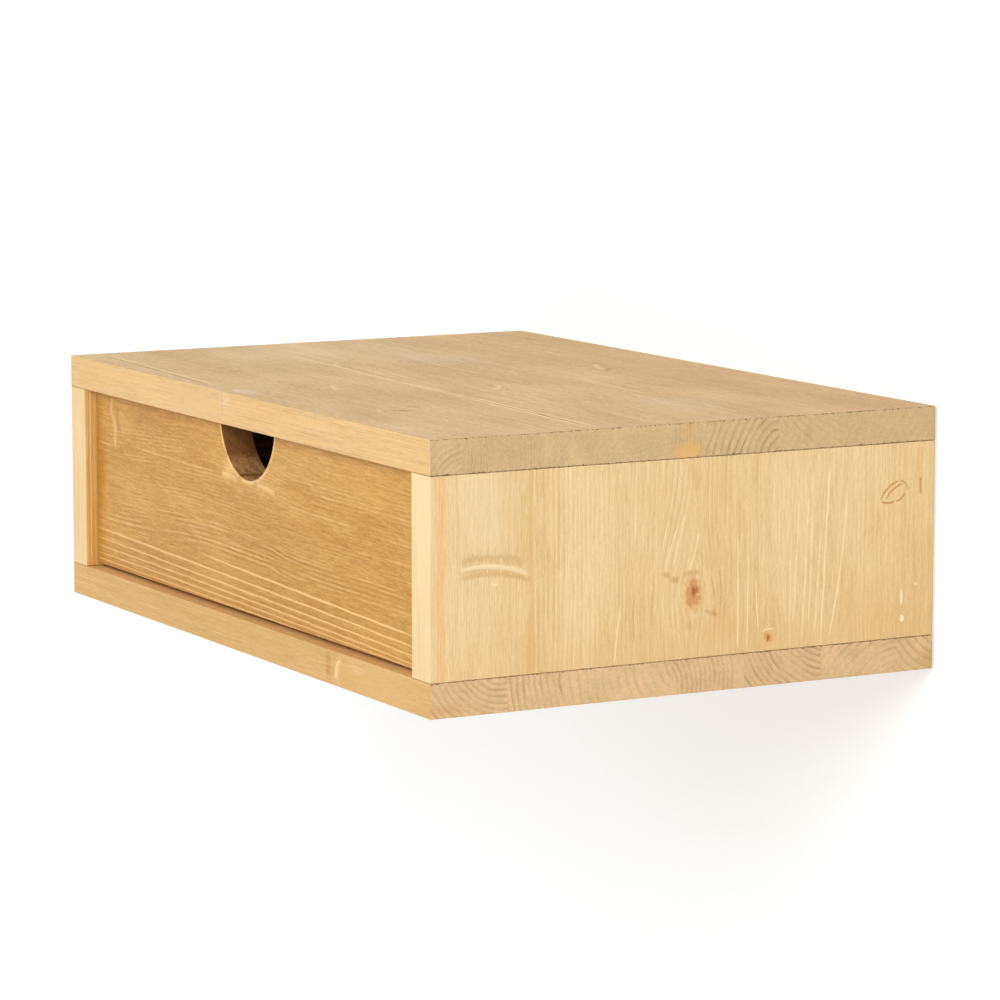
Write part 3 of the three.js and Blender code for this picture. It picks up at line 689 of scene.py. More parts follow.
RIGHT_STROKES = (
    *strokes(
        Mark.SHADE, Face.LONG,
        # The first two rows paint shade into the ripple's troughs, beside its real relief.
        (-284, 6.2, -244.5, 3.2, 3.2, 0.5, 3.2, 0.1, 0, 6),
        (-284.5, -0.2, -242, -4, 2, 0.6, 3.2, 0, 0, -2.5), (-137.4, -8, -136, -31, 0.8, 0.55, 1, 0.6),
        (-133.2, -4, -132, -33, 0.8, 0.55, 1, 0.6), (-129.4, -9, -128.8, -34, 0.8, 0.55, 0, 0.6),
        (-142, -27.5, -133, -30.5, 1.4, 0.6, 0, 0.6), (-183, -14, -183.4, -40, 0.7, 0.6),
        (-172.6, -14, -172.6, -34, 0.7, 0.6), (-166, -5, -157, -11.5, 1.8, 0.7, -0.8, 0.7),
        (-154.4, -8.4, -144, -7.6, 1.8, 0.6, 0.8, 0.6, 0.4),
    ),
    *strokes(
        Mark.PALE, Face.LONG,
        # The first row paints a highlight along the ripple's crest.
        (-284.5, 3, -243.5, -1.2, 1.7, 0.65, 3.4, 0, 0), (-266.5, -3.2, -262, -4.4, 0.6, 0.9, -1, 0),
        (-121.4, 14, -121, -52, 0.5, 0.8, 0, 0.3, 0.4), (-115.2, 4, -115.4, -52, 0.5, 0.8, 0, 0.3, 0.4),
        (-110.6, -12, -108.6, -41, 0.5, 0.8, 0, 0.2, 0.4), (-89.5, -52, -89, 12, 0.5, 0.55),
        (-87.5, -40, -84, 28, 0.8, 0.6), (-82.2, -50, -78, 32, 0.8, 0.6), (-77.6, -42, -76, 24, 0.8, 0.6),
        (-74.6, -46, -70, 14, 0.8, 0.6), (-70.4, -52, -65.2, 48, 0.8, 0.75, 0, 0.2),
        (-66, -50, -55, 30, 0.8, 0.7, -2.4, 0.3), (-195, -52, -191.2, -20, 0.8, 0.6, 0, 0.2, 0.4),
        (-164.6, -8, -158, 16, 0.8, 0.6, 0.8, 0.5, 0.4), (-160.4, -5, -152.6, 24, 0.8, 0.6, 0.8, 0.5, 0.4),
        (-150.6, -6.5, -144.6, 14, 0.8, 0.6, -0.6, 0.2, 0.4),
        (-106.6, -41.8, -99.4, -40.8, 0.5, 0.8, 0.9, 0.2, 0.4),
    ),
    *strokes(
        Mark.BROWN, Face.LONG,
        (-34.2, 21.4, -22, 32, 0.7, 1, 2, 0.2, 0.4), (-22, 32, -16.6, 26.2, 0.6, 0.9, 1.4, 0.2, 0.4),
        (-34, 21.5, -25, 21, 0.8, 1, -0.8, 0.2, 0.4), (-31, 22.2, -19.5, 30.4, 0.7, 1, 1.4, 0.2, 0.4),
        (-25, 21, -18.4, 25.6, 0.7, 1, -1.2, 0.2, 0.4), (-8.8, 33.5, -8.6, 23.5, 1, 0.8, 0, 0.1, 0.4),
    ),
)
LEFT_STROKES = (
    *strokes(
        Mark.SHADE, Face.LONG,
        (-298.2, -60, -298, 60, 0.4, 0.9, 0, 0.5, 0), (-295.6, -60, -295.8, 60, 0.5, 0.9, 0, 0.5, 0),
    ),
    *strokes(
        Mark.PALE, Face.LONG,
        (-297, -60, -296.8, 60, 0.4, 0.6, 0, 0.5, 0), (-262, -50, -258, 20, 0.6, 0.8),
        (-168, 48, -164, -30, 0.6, 0.8), (-158, 50, -153, -46, 0.6, 0.8), (-122, -50, -126, 34, 0.6),
        (-36, 44, -30, -50, 0.6),
    ),
    *strokes(
        Mark.BROWN, Face.LONG,
        (-212, 30, -199, 29, 0.7, 0.7, 0.8, 0.5, 0.4),
    ),
)
FRONT_STROKES = (
    *strokes(
        Mark.PALE, Face.LONG,
        (-25.4, -66, -33.8, 206, 0.8, 0.85, 0, 0.3, 0.4),
        (-28.6, -230, -39.9, 230, 0.8, 0.8, -0.6, 0.3, 0.4),
        (-34.2, -230, -44.3, 230, 0.75, 0.75, -0.5, 0.3, 0.4),
        (-39, -230, -48.8, 230, 0.75, 0.7, -1.3, 0.3, 0.4),
        (-43.2, -230, -50.6, 230, 0.7, 0.7, -0.9, 0.3, 0.4),
        (-46.6, -230, -50, 90, 0.7, 0.65, 0, 0.3, 0.4), (49, -181, 38, -183, 2.4, 0.4, 1, 0.3),
        (40, -183, 29, -177, 2.6, 0.45, -1, 0.3), (32, -177, 19.5, -177, 2.6, 0.45, 1.2, 0.3),
        (22, -202, 21.4, -170, 0.8, 0.45), (24, -168, 22.2, -34, 0.7, 0.35),
        (22.8, -34, 21.6, -13, 2, 0.5, 0, 0.3), (21.2, 10, 19.8, 35, 2, 0.55, -0.6, 0.3),
    ),
    *strokes(
        Mark.SHADE, Face.LONG,
        (-26.5, -40, -27.2, -20, 0.6, 0.9, 0, 0.5, 0.4), (46, -174, 29, -170.5, 2.4, 0.4, 1.5, 0.3),
    ),
)
RIGHT_KNOTS = each(
    Knot,
    ((-148.3, -18.4), (6.4, 10.8), (13, 26), 0.75, 1, (0.9, 2.2), (2.6, 3.4)),
    ((-102.5, -44.6), (3.6, 3.7), (8, 13), 0.65, 0.9, (-0.2, -0.5), (0.8, 1.7)),
)
LEFT_KNOTS = each(
    Knot,
    ((-206, 21), (4.2, 6.8), (12, 22), 0.7, 1, (0.2, 0.6), (1.5, 2.2)),
    ((-71, -26), (3, 4.4), (9, 16), 0.6, 0.8, (0, 0), (0.9, 1.4)),
)
BACK_KNOTS = each(
    Knot,
    ((14, -88), (6, 9), (16, 30), 0.7, 1, (0.4, -0.8), (1.8, 2.6)),
    ((-26, 72), (3.4, 4.6), (10, 18), 0.6, 0.85, (0, 0), (1, 1.5)),
)
FRONT_FOLDS = each(
    Fold,
    ((-36, -19), None, (-205, -30), 9.5), ((-26, -20), None, (20, 60), -3),
    ((-26, -20), None, (60, 200), 3),
)
RIGHT_FOLDS = each(
    Fold,
    ((-178, -162), (-150, -138), (-12, 45), 6),
)


@dataclass(frozen=True)
class Spruce:
    """Oiled spruce as one solid pattern, so that the rings on a board's end meet the lines on its faces.

    Attributes:
        name: Name of the material.
        lay: How the board lies.
        palette: Its colours.
        staves: Its glued strips, in order across the board.
        through: Lowest and highest place through the board, for the crumbs along its ends.
        knots: Its knots.
        tints: Its patches.
        strokes: Its single lines.
        folds: Where its grain drifts.
        slant: How far the grain falls across the board for each millimetre along it.
        glued: Whether the strips are glued and meet in straight joints.
        wander: How far the rings wander, in millimetres.
        line_width: Width of the light lines in millimetres.
        bands: Strength of the broad stripes along the grain.
        speckle: Strength of the short fibres and pores.
        grain_relief: Height of the raised grain in millimetres.
        gloss: Middle roughness of the finish.
        crumbs: Strength of the dark crumbs along the arrises of its ends.
    """

    name: str
    lay: Lay
    palette: Palette
    staves: tuple[Stave, ...]
    through: Pair
    knots: tuple[Knot, ...] = ()
    tints: tuple[Tint, ...] = ()
    strokes: tuple[Stroke, ...] = ()
    folds: tuple[Fold, ...] = ()
    slant: float = 0.0
    glued: bool = True
    wander: float = 5.0
    line_width: float = 0.75
    bands: float = 1.0
    speckle: float = 1.0
    grain_relief: float = 0.09
    gloss: float = 0.5
    crumbs: float = 1.0

    def build(self) -> bpy.types.Material:
        """Builds the material and gives it back."""
        return Timber(self).build()


class Timber(Finish):
    """The material of one spruce board being built."""

    def __init__(self, wood: Spruce) -> None:
        """Finds the board's own directions and its three kinds of faces.

        Args:
            wood: What its wood looks like.
        """
        super().__init__(wood.name)
        self.wood = wood
        place = self.parts(self.place)
        self.across, self.through, self.along = (place[axis] for axis in wood.lay.value)
        normal = self.parts(self.coordinates["Normal"])
        self.ends = self.step(self.size(normal[wood.lay.value[2]]), *FACING)
        self.edges = self.step(self.size(normal[wood.lay.value[0]]), *FACING)
        self.shown = {Face.LONG: self.rest(self.ends), Face.END: self.ends, Face.EDGE: self.edges}
        self.depths = {Face.LONG: self.through, Face.END: self.along, Face.EDGE: self.across}
        self.planes = {
            Face.LONG: self.joined(self.across, self.along),
            Face.END: self.joined(self.across, self.through),
            Face.EDGE: self.joined(self.through, self.along),
        }
        self.grained = self.joined(self.across, self.through, self.along)

    def build(self) -> bpy.types.Material:
        """Builds the material.

        Returns:
            The material.
        """
        wood = self.wood
        bent, strands, spread = self._bend()
        flow = self.joined(strands, self.through, self.along)
        heart, lean, looks = self._staves(self.across if wood.glued else bent)
        phase, ring = self._rings(bent, heart, lean)
        inside = self.product(self.rest(self.math("FRACT", phase)), ring)
        chance = self.node("TexWhiteNoise", {"W": self.math("FLOOR", phase)}, noise_dimensions="1D")[0]
        lines, tone, rings = self.parts(looks)
        lines = self.product(lines, self.math("MULTIPLY_ADD", self.edges, -0.5, 1.0), spread)

        long_colour, line = self._long(flow, inside, chance, lines, tone)
        end_colour, late = self._end(inside, chance, rings, tone)
        colour = self._tints(self.mix(self.ends, long_colour, end_colour))
        colour, knots = self._knots(colour)
        colour, drawn = self._strokes(colour)
        colour = self._crumbs(colour)

        fibre = self.noise(flow, FIBRE)
        pores = self.noise(self.grained, PORES)
        long_height = self.weighted((line, 0.6), (fibre, 0.4), (knots, 0.25), (drawn, 0.8))
        end_height = self.weighted((late, 0.3), (pores, 0.7))
        height = self.node("Mix", {0: self.ends, 2: long_height, 3: end_height})[0]
        haze = self.noise(self.grained, HAZE, 3)
        rough = self.weighted((haze, 0.2), (fibre, 0.12), (self.ends, 0.16), base=wood.gloss - 0.11)
        return self.surface(colour, rough, height, wood.grain_relief, specular=0.3)

    def _bend(self) -> tuple[Socket, Socket, Value]:
        """Lets the grain drift, and bends it round the knots.

        Returns:
            The place across the grain as the rings see it, the same without the drift, and how clear
            the rings' lines are, less where the drift spreads them.
        """
        wood, across, along = self.wood, self.across, self.along
        bent = self.math("MULTIPLY_ADD", along, wood.slant, across) if wood.slant else across
        straight, spread, pulled = bent, 1.0, 0.0
        for fold in wood.folds:
            rise, growth = self.step(straight, *fold.low), self.step(along, *fold.along)
            share = self.product(rise, growth)
            if fold.high is not None:
                share = self.product(share, self.fall(straight, *fold.high))
            elif fold.shift > 0:
                opened = self.product(rise, self.rest(rise), growth)
                spread = self.product(self.math("MULTIPLY_ADD", opened, -3.6, 1.0), spread)
            bent = self.math("MULTIPLY_ADD", share, -fold.shift, bent)
        for knot in wood.knots:
            aside = self.math("SUBTRACT", across, knot.place[0])
            away = self.math("SUBTRACT", along, knot.place[1])
            near = self.total(*(
                self.math("POWER", self.math("DIVIDE", self.size(off), reach), 2.0)
                for off, reach in zip((aside, away), knot.reach)
            ))
            pull = self.product(self.math("EXPONENT", self.product(near, -1.0)), knot.pull, aside)
            pulled = self.total(pull, pulled)
        if wood.knots:
            bent, straight = (self.math("SUBTRACT", place, pulled) for place in (bent, straight))
        return bent, straight, spread

    def _staves(self, across: Socket) -> list[Value]:
        """Looks up which glued strip a place is in.

        Args:
            across: Place across the grain.

        Returns:
            Heart and ring distance, lean with the strip's number, and lines, tone and rings.
        """
        found: list[Value] = []
        for stave in self.wood.staves:
            facts = [
                (stave.heart_across, stave.heart_through, stave.ring),
                (stave.lean_across, stave.lean_through, stave.start * 1.7),
                (stave.lines, stave.tone, stave.rings),
            ]
            if found:
                inside = self.math("GREATER_THAN", across, stave.start)
                for turn, under in enumerate(found):
                    inputs = {0: inside, 4: under, 5: facts[turn]}
                    facts[turn] = self.node("Mix", inputs, data_type="VECTOR")[1]
            found = facts
        return found

    def _rings(self, across: Socket, heart: Value, lean: Value) -> tuple[Socket, Socket]:
        """Counts the growth rings outward from the heart.

        Args:
            across: Bent place across the grain.
            heart: Heart's place and ring distance of the strip.
            lean: Lean of the heart and the strip's number.

        Returns:
            The ring number with its fraction, and the distance between rings.
        """
        middle, fallen = self.parts(heart), self.parts(lean)
        off = []
        for turn, place in enumerate((across, self.through)):
            moved = self.math("SUBTRACT", place, middle[turn])
            off.append(self.math("SUBTRACT", moved, self.product(fallen[turn], self.along)))
        aside, above = off
        distance = self.vector("LENGTH", self.joined(aside, above))
        shifted = self.joined(aside, above, self.along)
        shifted = self.vector("ADD", shifted, self.vector("MULTIPLY", lean, (0, 0, 1)))
        wander = self.total(
            self.swing(shifted, SWEEP, self.wood.wander * 2, 1),
            self.swing(shifted, WAVE, self.wood.wander * 0.5),
            self.swing(shifted, RIPPLET, self.wood.wander * 0.09),
        )
        return self.math("DIVIDE", self.total(distance, wander), middle[2]), middle[2]

    def _long(
        self, flow: Socket, inside: Socket, chance: Socket, lines: Socket, tone: Socket
    ) -> tuple[Socket, Socket]:
        """Colours the faces along the grain.

        Args:
            flow: Place across, through and along the bent grain.
            inside: Distance inside the nearest growth ring, in millimetres.
            chance: A random number for each ring.
            lines: Strength of the lines in this strip.
            tone: Tone of this strip.

        Returns:
            The colour, and the lines as a pattern.
        """
        wood, width = self.wood, self.wood.line_width
        level = self.total(
            self.math("ADD", tone, 0.5),
            self.swing(flow, CLOUD, 1.1),
            self.swing(flow, BAND, 0.8 * wood.bands),
            self.swing(flow, THREAD, 0.9 * wood.bands),
            self.swing(flow, FLECK, 1.5 * wood.speckle),
            self.swing(flow, SPECK, 0.9 * wood.speckle),
        )
        colour = self.mix(self.clamped(level), wood.palette.dark, wood.palette.light)
        line = self.product(
            self.step(inside, 0.0, 0.3 * width), self.fall(inside, 0.6 * width, 1.3 * width)
        )
        fade = self.step(self.noise(flow, LINE_FADE), 0.36, 0.64)
        broken = self.step(self.noise(flow, LINE_BREAK, 1), 0.3, 0.55, 0.45, 1.0)
        weight = self.product(line, lines, self.math("MULTIPLY_ADD", chance, 0.75, 0.2), fade, broken)
        # Painted shadow: the band beside each light line is darkened as the shadow side of the raised line,
        # and partly as darker latewood.
        beside = self.product(
            self.step(inside, width, 1.6 * width), self.fall(inside, 1.6 * width, 3.2 * width)
        )
        dull = self.product(beside, lines, fade, 0.35)
        colour = self.mix(self.math("MINIMUM", dull, 0.6), colour, wood.palette.shade)
        colour = self.mix(self.math("MINIMUM", weight, 1.0), colour, wood.palette.line)
        return colour, self.product(line, self.math("MINIMUM", lines, 1.0), fade)

    def _end(self, inside: Socket, chance: Socket, rings: Socket, tone: Socket) -> tuple[Socket, Socket]:
        """Colours the faces across the grain.

        Args:
            inside: Distance inside the nearest growth ring, in millimetres.
            chance: A random number for each ring.
            rings: Strength of the rings in this strip.
            tone: Tone of this strip.

        Returns:
            The colour, and the rings as a pattern.
        """
        late = self.math("POWER", self.fall(inside, 0.3, 2.7), 1.3)
        late = self.product(self.step(inside, 0.0, 0.5), late)
        fade = self.step(self.noise(self.grained, END_FADE), 0.34, 0.62, 0.35, 1.0)
        weight = self.product(late, rings, self.math("MULTIPLY_ADD", chance, 0.5, 0.4), fade, 0.85)
        level = self.total(
            self.math("MULTIPLY_ADD", tone, 0.5, 0.5),
            self.swing(self.grained, END_CLOUD, 0.8),
            self.swing(self.grained, END_FIBRE, 1.3, 2, 0.7),
            self.swing(self.grained, END_PORES, 0.7),
        )
        light = self.wood.palette.end_light[:3]
        dim, bright = ((*(min(1.0, part * channel) for channel in light), 1.0) for part in (0.8, 1.16))
        ground = self.mix(self.clamped(level), dim, bright)
        return self.mix(self.math("MINIMUM", weight, 1.0), ground, self.wood.palette.end_dark), late

    def _tints(self, colour: Socket) -> Socket:
        """Lays the patches over the colour.

        Args:
            colour: Colour so far.

        Returns:
            The colour with the patches.
        """
        if not self.wood.tints:
            return colour
        torn = self.swing(self.grained, TORN, 1.0, 3, 0.6)
        torn_end = self.swing(self.grained, TORN_END, 1.0, 2, 0.6)
        threads = self.step(self.noise(self.grained, TINT_THREADS, 2, 0.6), 0.36, 0.66, 0.35, 1.0)
        for tint in self.wood.tints:
            off = self.vector("SUBTRACT", self.planes[tint.face], (*tint.place, 0))
            turn = math.radians(tint.turn)
            axes = ((math.cos(turn), math.sin(turn)), (-math.sin(turn), math.cos(turn)))
            flat = self.joined(*(
                self.vector("DOT_PRODUCT", off, (first / size, second / size, 0))
                for (first, second), size in zip(axes, tint.size)
            ))
            uneven = torn_end if tint.face is Face.END else torn
            radius = self.math("MULTIPLY_ADD", uneven, tint.ragged, self.vector("LENGTH", flat))
            patch = self.fall(radius, 1 - tint.soft, 1.0, tint.strength)
            mask = self.product(patch, self.shown[tint.face], threads)
            if tint.above is not None:
                mask = self.product(mask, self.math("GREATER_THAN", self.depths[tint.face], tint.above))
            colour = self.mix(mask, colour, tint.colour)
        return colour

    def _oval(self, off: Socket, size: Pair, ragged: Socket, share: float) -> Socket:
        """Measures how far out a place is in a ragged oval, from 0 in its middle to 1 at its rim."""
        flat = self.vector("MULTIPLY", off, (1 / size[0], 1 / size[1], 0))
        return self.math("MULTIPLY_ADD", ragged, share, self.vector("LENGTH", flat))

    def _knots(self, colour: Socket) -> tuple[Socket, Value]:
        """Draws the knots.

        Args:
            colour: Colour so far.

        Returns:
            The colour with the knots, and the knots as a pattern.
        """
        pattern: Value = 0.0
        if not self.wood.knots:
            return colour, pattern
        ragged = self.swing(self.grained, KNOT_RAGGED, 1.0, 3, 0.65)
        for knot in self.wood.knots:
            off = self.vector("SUBTRACT", self.planes[Face.LONG], (*knot.place, 0))
            radius = self._oval(off, knot.size, ragged, 1.15)
            rings = self.math("SINE", self.product(radius, 15.0))
            inner = self.mix(self.step(radius, 0.1, 0.95), KNOT_WOOD, KNOT_RIM)
            inner = self.mix(self.product(self.step(rings, 0.2, 1.0), 0.25), inner, KNOT_HEART)
            mask = self.fall(radius, 0.4, 1.15)
            colour = self.mix(self.product(mask, knot.depth), colour, inner)
            core = self._oval(self.vector("SUBTRACT", off, (*knot.heart, 0)), knot.core, ragged, 1.7)
            colour = self.mix(self.product(self.fall(core, 0.3, 1.15), knot.depth), colour, KNOT_HEART)
            pattern = self.most(pattern, mask)
        return colour, pattern

    def _strokes(self, colour: Socket) -> tuple[Socket, Value]:
        """Draws the single lines.

        Args:
            colour: Colour so far.

        Returns:
            The colour with the lines, and their relief.
        """
        relief: Value = 0.0
        if not self.wood.strokes:
            return colour, relief
        drift = self.swing(self.grained, STROKE_DRIFT, 2.4)
        gaps = self.noise(self.grained, STROKE_GAPS, 2, 0.6)
        spikes = self.step(self.noise(self.grained, STROKE_SPIKES, 2, 0.7), 0.42, 0.78)
        swayed: dict[tuple[Face, float], Socket] = {}
        for face, sway in sorted({(stroke.face, stroke.sway) for stroke in self.wood.strokes}, key=str):
            place = self.parts(self.planes[face])
            swayed[face, sway] = self.joined(self.math("MULTIPLY_ADD", drift, sway, place[0]), place[1])
        looks = (
            (Mark.SHADE, self.wood.palette.shade, -0.5),
            (Mark.BROWN, THIN_BROWN, -0.3),
            (Mark.PALE, self.wood.palette.line, 0.8),
        )
        for mark, shade, height in looks:
            groups: dict[tuple[Face, float], Value] = {}
            for stroke in (stroke for stroke in self.wood.strokes if stroke.mark is mark):
                line = self._stroke(stroke, swayed[stroke.face, stroke.sway], spikes)
                key = (stroke.face, stroke.broken)
                groups[key] = self.most(groups.get(key, 0.0), line)
            mask: Value = 0.0
            for (face, broken), lines in groups.items():
                lost = 0.3 + 0.24 * broken
                left = self.step(gaps, lost - 0.08, lost + 0.12, 1.0 - broken, 1.0)
                mask = self.most(mask, self.product(lines, left, self.shown[face]))
            if groups:
                colour = self.mix(mask, colour, shade)
                relief = self.math("MULTIPLY_ADD", mask, height, relief)
        return colour, relief

    def _stroke(self, stroke: Stroke, plane: Socket, spikes: Socket) -> Socket:
        """Draws one single line.

        Args:
            stroke: The line.
            plane: Place on the two axes of its face, swayed.
            spikes: Spikes along the grain, for a fringed side.

        Returns:
            How strong the line is.
        """
        start, end = Vector(stroke.start), Vector(stroke.end)
        run, half = (end - start).normalized(), (end - start).length / 2
        aside = Vector((-run[1], run[0]))
        middle = (start + end) / 2 + aside * stroke.bow
        off = self.vector("SUBTRACT", plane, (*middle, 0))
        forward, beside = (self.vector("DOT_PRODUCT", off, (*axis, 0)) for axis in (run, aside))
        squared = self.product(forward, forward)
        if stroke.bow:
            beside = self.math("MULTIPLY_ADD", squared, stroke.bow / half**2, beside)
        if stroke.fringe:
            beside = self.math("MULTIPLY_ADD", spikes, -stroke.fringe, beside)
        body = self.fall(self.size(beside), 0.3 * stroke.width, stroke.width, stroke.strength)
        return self.product(body, self.fall(squared, (0.72 * half) ** 2, half**2))

    def _crumbs(self, colour: Socket) -> Socket:
        """Darkens the crumbled fibres along the arrises of the ends.

        Args:
            colour: Colour so far.

        Returns:
            The colour with the crumbs.
        """
        low = self.math("SUBTRACT", self.through, self.wood.through[0])
        high = self.math("SUBTRACT", self.wood.through[1], self.through)
        inset = self.math("MINIMUM", low, high)
        reach = self.step(self.noise(self.grained, CRUMB_REACH, 3, 0.75), 0.42, 0.7, 0.05, 0.85)
        close = self.math("DIVIDE", self.math("SUBTRACT", reach, inset), 0.2, clamp=True)
        gaps = self.step(self.noise(self.grained, CRUMB_GAPS, 2, 0.6), 0.34, 0.5, 0.45, 1.0)
        return self.mix(self.product(close, self.ends, gaps, self.wood.crumbs, 0.9), colour, JOINT_DARK)


@dataclass(frozen=True)
class Steel:
    """Plated steel with a brushed length, cloudy plating and a little grime.

    Attributes:
        name: Name of the material.
        bright: Colour of the clear plating.
        dull: Colour of its clouds.
        rough: Middle roughness.
        brushed: Size of the brush marks along X, Y and Z, in millimetres.
        spangle: Size of the plating's clouds in millimetres.
    """

    name: str
    bright: Colour
    dull: Colour
    rough: float
    brushed: Triple = (0.3, 24.0, 0.3)
    spangle: float = 4.0

    def build(self) -> bpy.types.Material:
        """Builds the material.

        Returns:
            The material.
        """
        made = Finish(self.name)
        brush = made.noise(made.place, self.brushed, 2, 0.6)
        cloud = made.noise(made.place, (self.spangle,) * 3, 3, 0.6, 0.6)
        grime = made.step(made.noise(made.place, (11, 11, 11), 4, 0.7), 0.5, 0.8)
        level = made.weighted((brush, 0.5), (cloud, 0.9), base=-0.2)
        colour = made.mix(made.clamped(level), self.dull, self.bright)
        colour = made.mix(made.product(grime, 0.22), colour, paint(96, 88, 74))
        rough = made.weighted((cloud, 0.14), (grime, 0.2), base=self.rough - 0.1)
        height = made.weighted((brush, 0.6), (cloud, 0.4))
        return made.surface(colour, rough, height, 0.012, metallic=1.0)


@dataclass(frozen=True)
class Moulded:
    """Black moulded plastic with a fine eroded grain.

    Attributes:
        name: Name of the material.
    """

    name: str

    def build(self) -> bpy.types.Material:
        """Builds the material.

        Returns:
            The material.
        """
        made = Finish(self.name)
        grain = made.noise(made.place, (0.35, 0.35, 0.35), 2, 0.6)
        flow = made.noise(made.place, (14, 6, 6), 3, 0.5, 0.4)
        colour = made.mix(made.step(flow, 0.3, 0.7), paint(20, 20, 21), paint(36, 36, 38))
        dust = made.step(grain, 0.62, 0.8)
        colour = made.mix(made.product(dust, 0.3), colour, paint(74, 72, 70))
        rough = made.weighted((flow, 0.14), (grain, 0.1), base=0.38)
        return made.surface(colour, rough, grain, 0.03)


@dataclass(frozen=True)
class Beech:
    """Turned beech: pinkish, straight, with short brown flecks.

    Attributes:
        name: Name of the material.
        along: Which axis the dowel runs along, 0, 1 or 2.
    """

    name: str
    along: int

    def _sizes(self, across: float, along: float) -> Triple:
        """Gives the size of a pattern on the three axes."""
        return tuple(along if axis == self.along else across for axis in range(3))

    def build(self) -> bpy.types.Material:
        """Builds the material.

        Returns:
            The material.
        """
        made = Finish(self.name)
        strands = made.noise(made.place, self._sizes(0.7, 26), 3, 0.6)
        flecks = made.step(made.noise(made.place, self._sizes(0.3, 1.8), 1), 0.6, 0.72)
        colour = made.mix(made.step(strands, 0.3, 0.7), paint(206, 164, 120), paint(228, 192, 150))
        colour = made.mix(made.product(flecks, 0.45), colour, paint(158, 108, 68))
        rough = made.weighted((strands, 0.2), base=0.55)
        return made.surface(colour, rough, made.weighted((strands, 0.7), (flecks, -0.3)), 0.06, 0.35)


@dataclass(frozen=True)
class Plywood:
    """Thin birch plywood: rotary-cut faces and layered edges.

    Attributes:
        name: Name of the material.
        low: Height of its lower face in millimetres.
        high: Height of its upper face in millimetres.
        plies: Number of layers.
    """

    name: str
    low: float
    high: float
    plies: int = 3

    def build(self) -> bpy.types.Material:
        """Builds the material.

        Returns:
            The material.
        """
        made = Finish(self.name)
        height = made.math("SUBTRACT", made.parts(made.place)[2], self.low)
        edge = made.fall(made.size(made.parts(made.coordinates["Normal"])[2]), 0.5, 0.8)
        figure = made.noise(made.place, (190, 26, 60), 3, 0.5, 1.2)
        curls = made.math("SINE", made.product(figure, 90.0))
        strands = made.noise(made.place, (16, 0.6, 0.6), 2, 0.6)
        level = made.weighted((curls, 0.16), (strands, 0.8), base=0.1)
        face = made.mix(made.clamped(level), paint(214, 178, 128), paint(240, 212, 166))
        number = made.product(height, self.plies / (self.high - self.low))
        turned = made.math("MODULO", made.math("FLOOR", number), 2.0)
        share = made.math("FRACT", number)
        glue = made.most(made.fall(share, 0.0, 0.08), made.step(share, 0.92, 1.0))
        short = made.noise(made.place, (0.5, 0.5, 0.4), 2, 0.6)
        ply = made.mix(turned, paint(222, 186, 136), paint(184, 142, 94))
        ply = made.mix(made.product(short, 0.35), ply, paint(140, 100, 62))
        ply = made.mix(made.product(glue, 0.6), ply, paint(96, 66, 40))
        rough = made.weighted((strands, 0.2), (edge, 0.15), base=0.45)
        relief = made.weighted((strands, 0.6), (short, 0.3))
        return made.surface(made.mix(edge, face, ply), rough, relief, 0.05, 0.35)


@dataclass(frozen=True)
class Zone:
    """A stretch of a board where its mesh is finer.

    Attributes:
        axis: Which axis it is measured on, 0, 1 or 2.
        start: Where it starts, in millimetres.
        end: Where it ends.
        step: Distance between the mesh's lines in it.
    """

    axis: int
    start: float
    end: float
    step: float


@dataclass(frozen=True)
class Hole:
    """A round hole, drilled straight from one point to another, in millimetres."""

    start: Vector
    end: Vector
    radius: float

    def sink(self, mesh: bmesh.types.BMesh) -> None:
        """Adds the hole's cylinder to a mesh that will be cut away.

        Args:
            mesh: The mesh of all holes, in metres.
        """
        run = (self.end - self.start) * MM
        turn = run.to_track_quat("Z", "Y").to_matrix().to_4x4()
        place = Matrix.Translation((self.start * MM + self.end * MM) / 2)
        radii = {"radius1": self.radius * MM, "radius2": self.radius * MM}
        bmesh.ops.create_cone(
            mesh, cap_ends=True, segments=HOLE_SIDES, depth=run.length, matrix=place @ turn, **radii
        )


def holes_for(*parts: str, radius: float | None = None) -> tuple[Hole, ...]:
    """Finds the holes that dowels or screws sit in.

    Args:
        parts: Parts of their names.
        radius: Their radius, where it isn't that of the widest part.

    Returns:
        The holes.
    """
    found = []
    for node in names(*parts):
        low, high = corners(node)
        size, middle = high - low, (low + high) / 2
        axis = max(range(3), key=lambda place: size[place])
        start, end = middle.copy(), middle.copy()
        start[axis], end[axis] = low[axis] - CLEARANCE, high[axis] + CLEARANCE
        wide = radius or min(size[place] for place in range(3) if place != axis) / 2
        found.append(Hole(start, end, wide + CLEARANCE))
    return tuple(found)


def add_mesh(name: str, mesh: bmesh.types.BMesh, material: bpy.types.Material) -> bpy.types.Object:
    """Turns a finished mesh into an object of the scene.

    Args:
        name: Name of the piece.
        mesh: Its mesh, in metres, which is freed.
        material: Its finish.

    Returns:
        The piece.
    """
    data = bpy.data.meshes.new(name)
    mesh.to_mesh(data)
    mesh.free()
    piece = bpy.data.objects.new(name, data)
    bpy.context.scene.collection.objects.link(piece)
    data.materials.append(material)
    return piece


def drill(piece: bpy.types.Object, holes: tuple[Hole, ...]) -> None:
    """Cuts round holes into a piece, for good.

    Args:
        piece: The piece.
        holes: Its holes.
    """
    cutters = bmesh.new()
    for hole in holes:
        hole.sink(cutters)
    tool = add_mesh(piece.name + "_holes", cutters, piece.data.materials[0])
    cut = piece.modifiers.new("holes", "BOOLEAN")
    cut.operation, cut.object, cut.solver = "DIFFERENCE", tool, "EXACT"
    seen = piece.evaluated_get(bpy.context.evaluated_depsgraph_get())
    drilled = bpy.data.meshes.new_from_object(seen)
    piece.modifiers.clear()
    piece.data = drilled
    bpy.data.meshes.remove(tool.data)


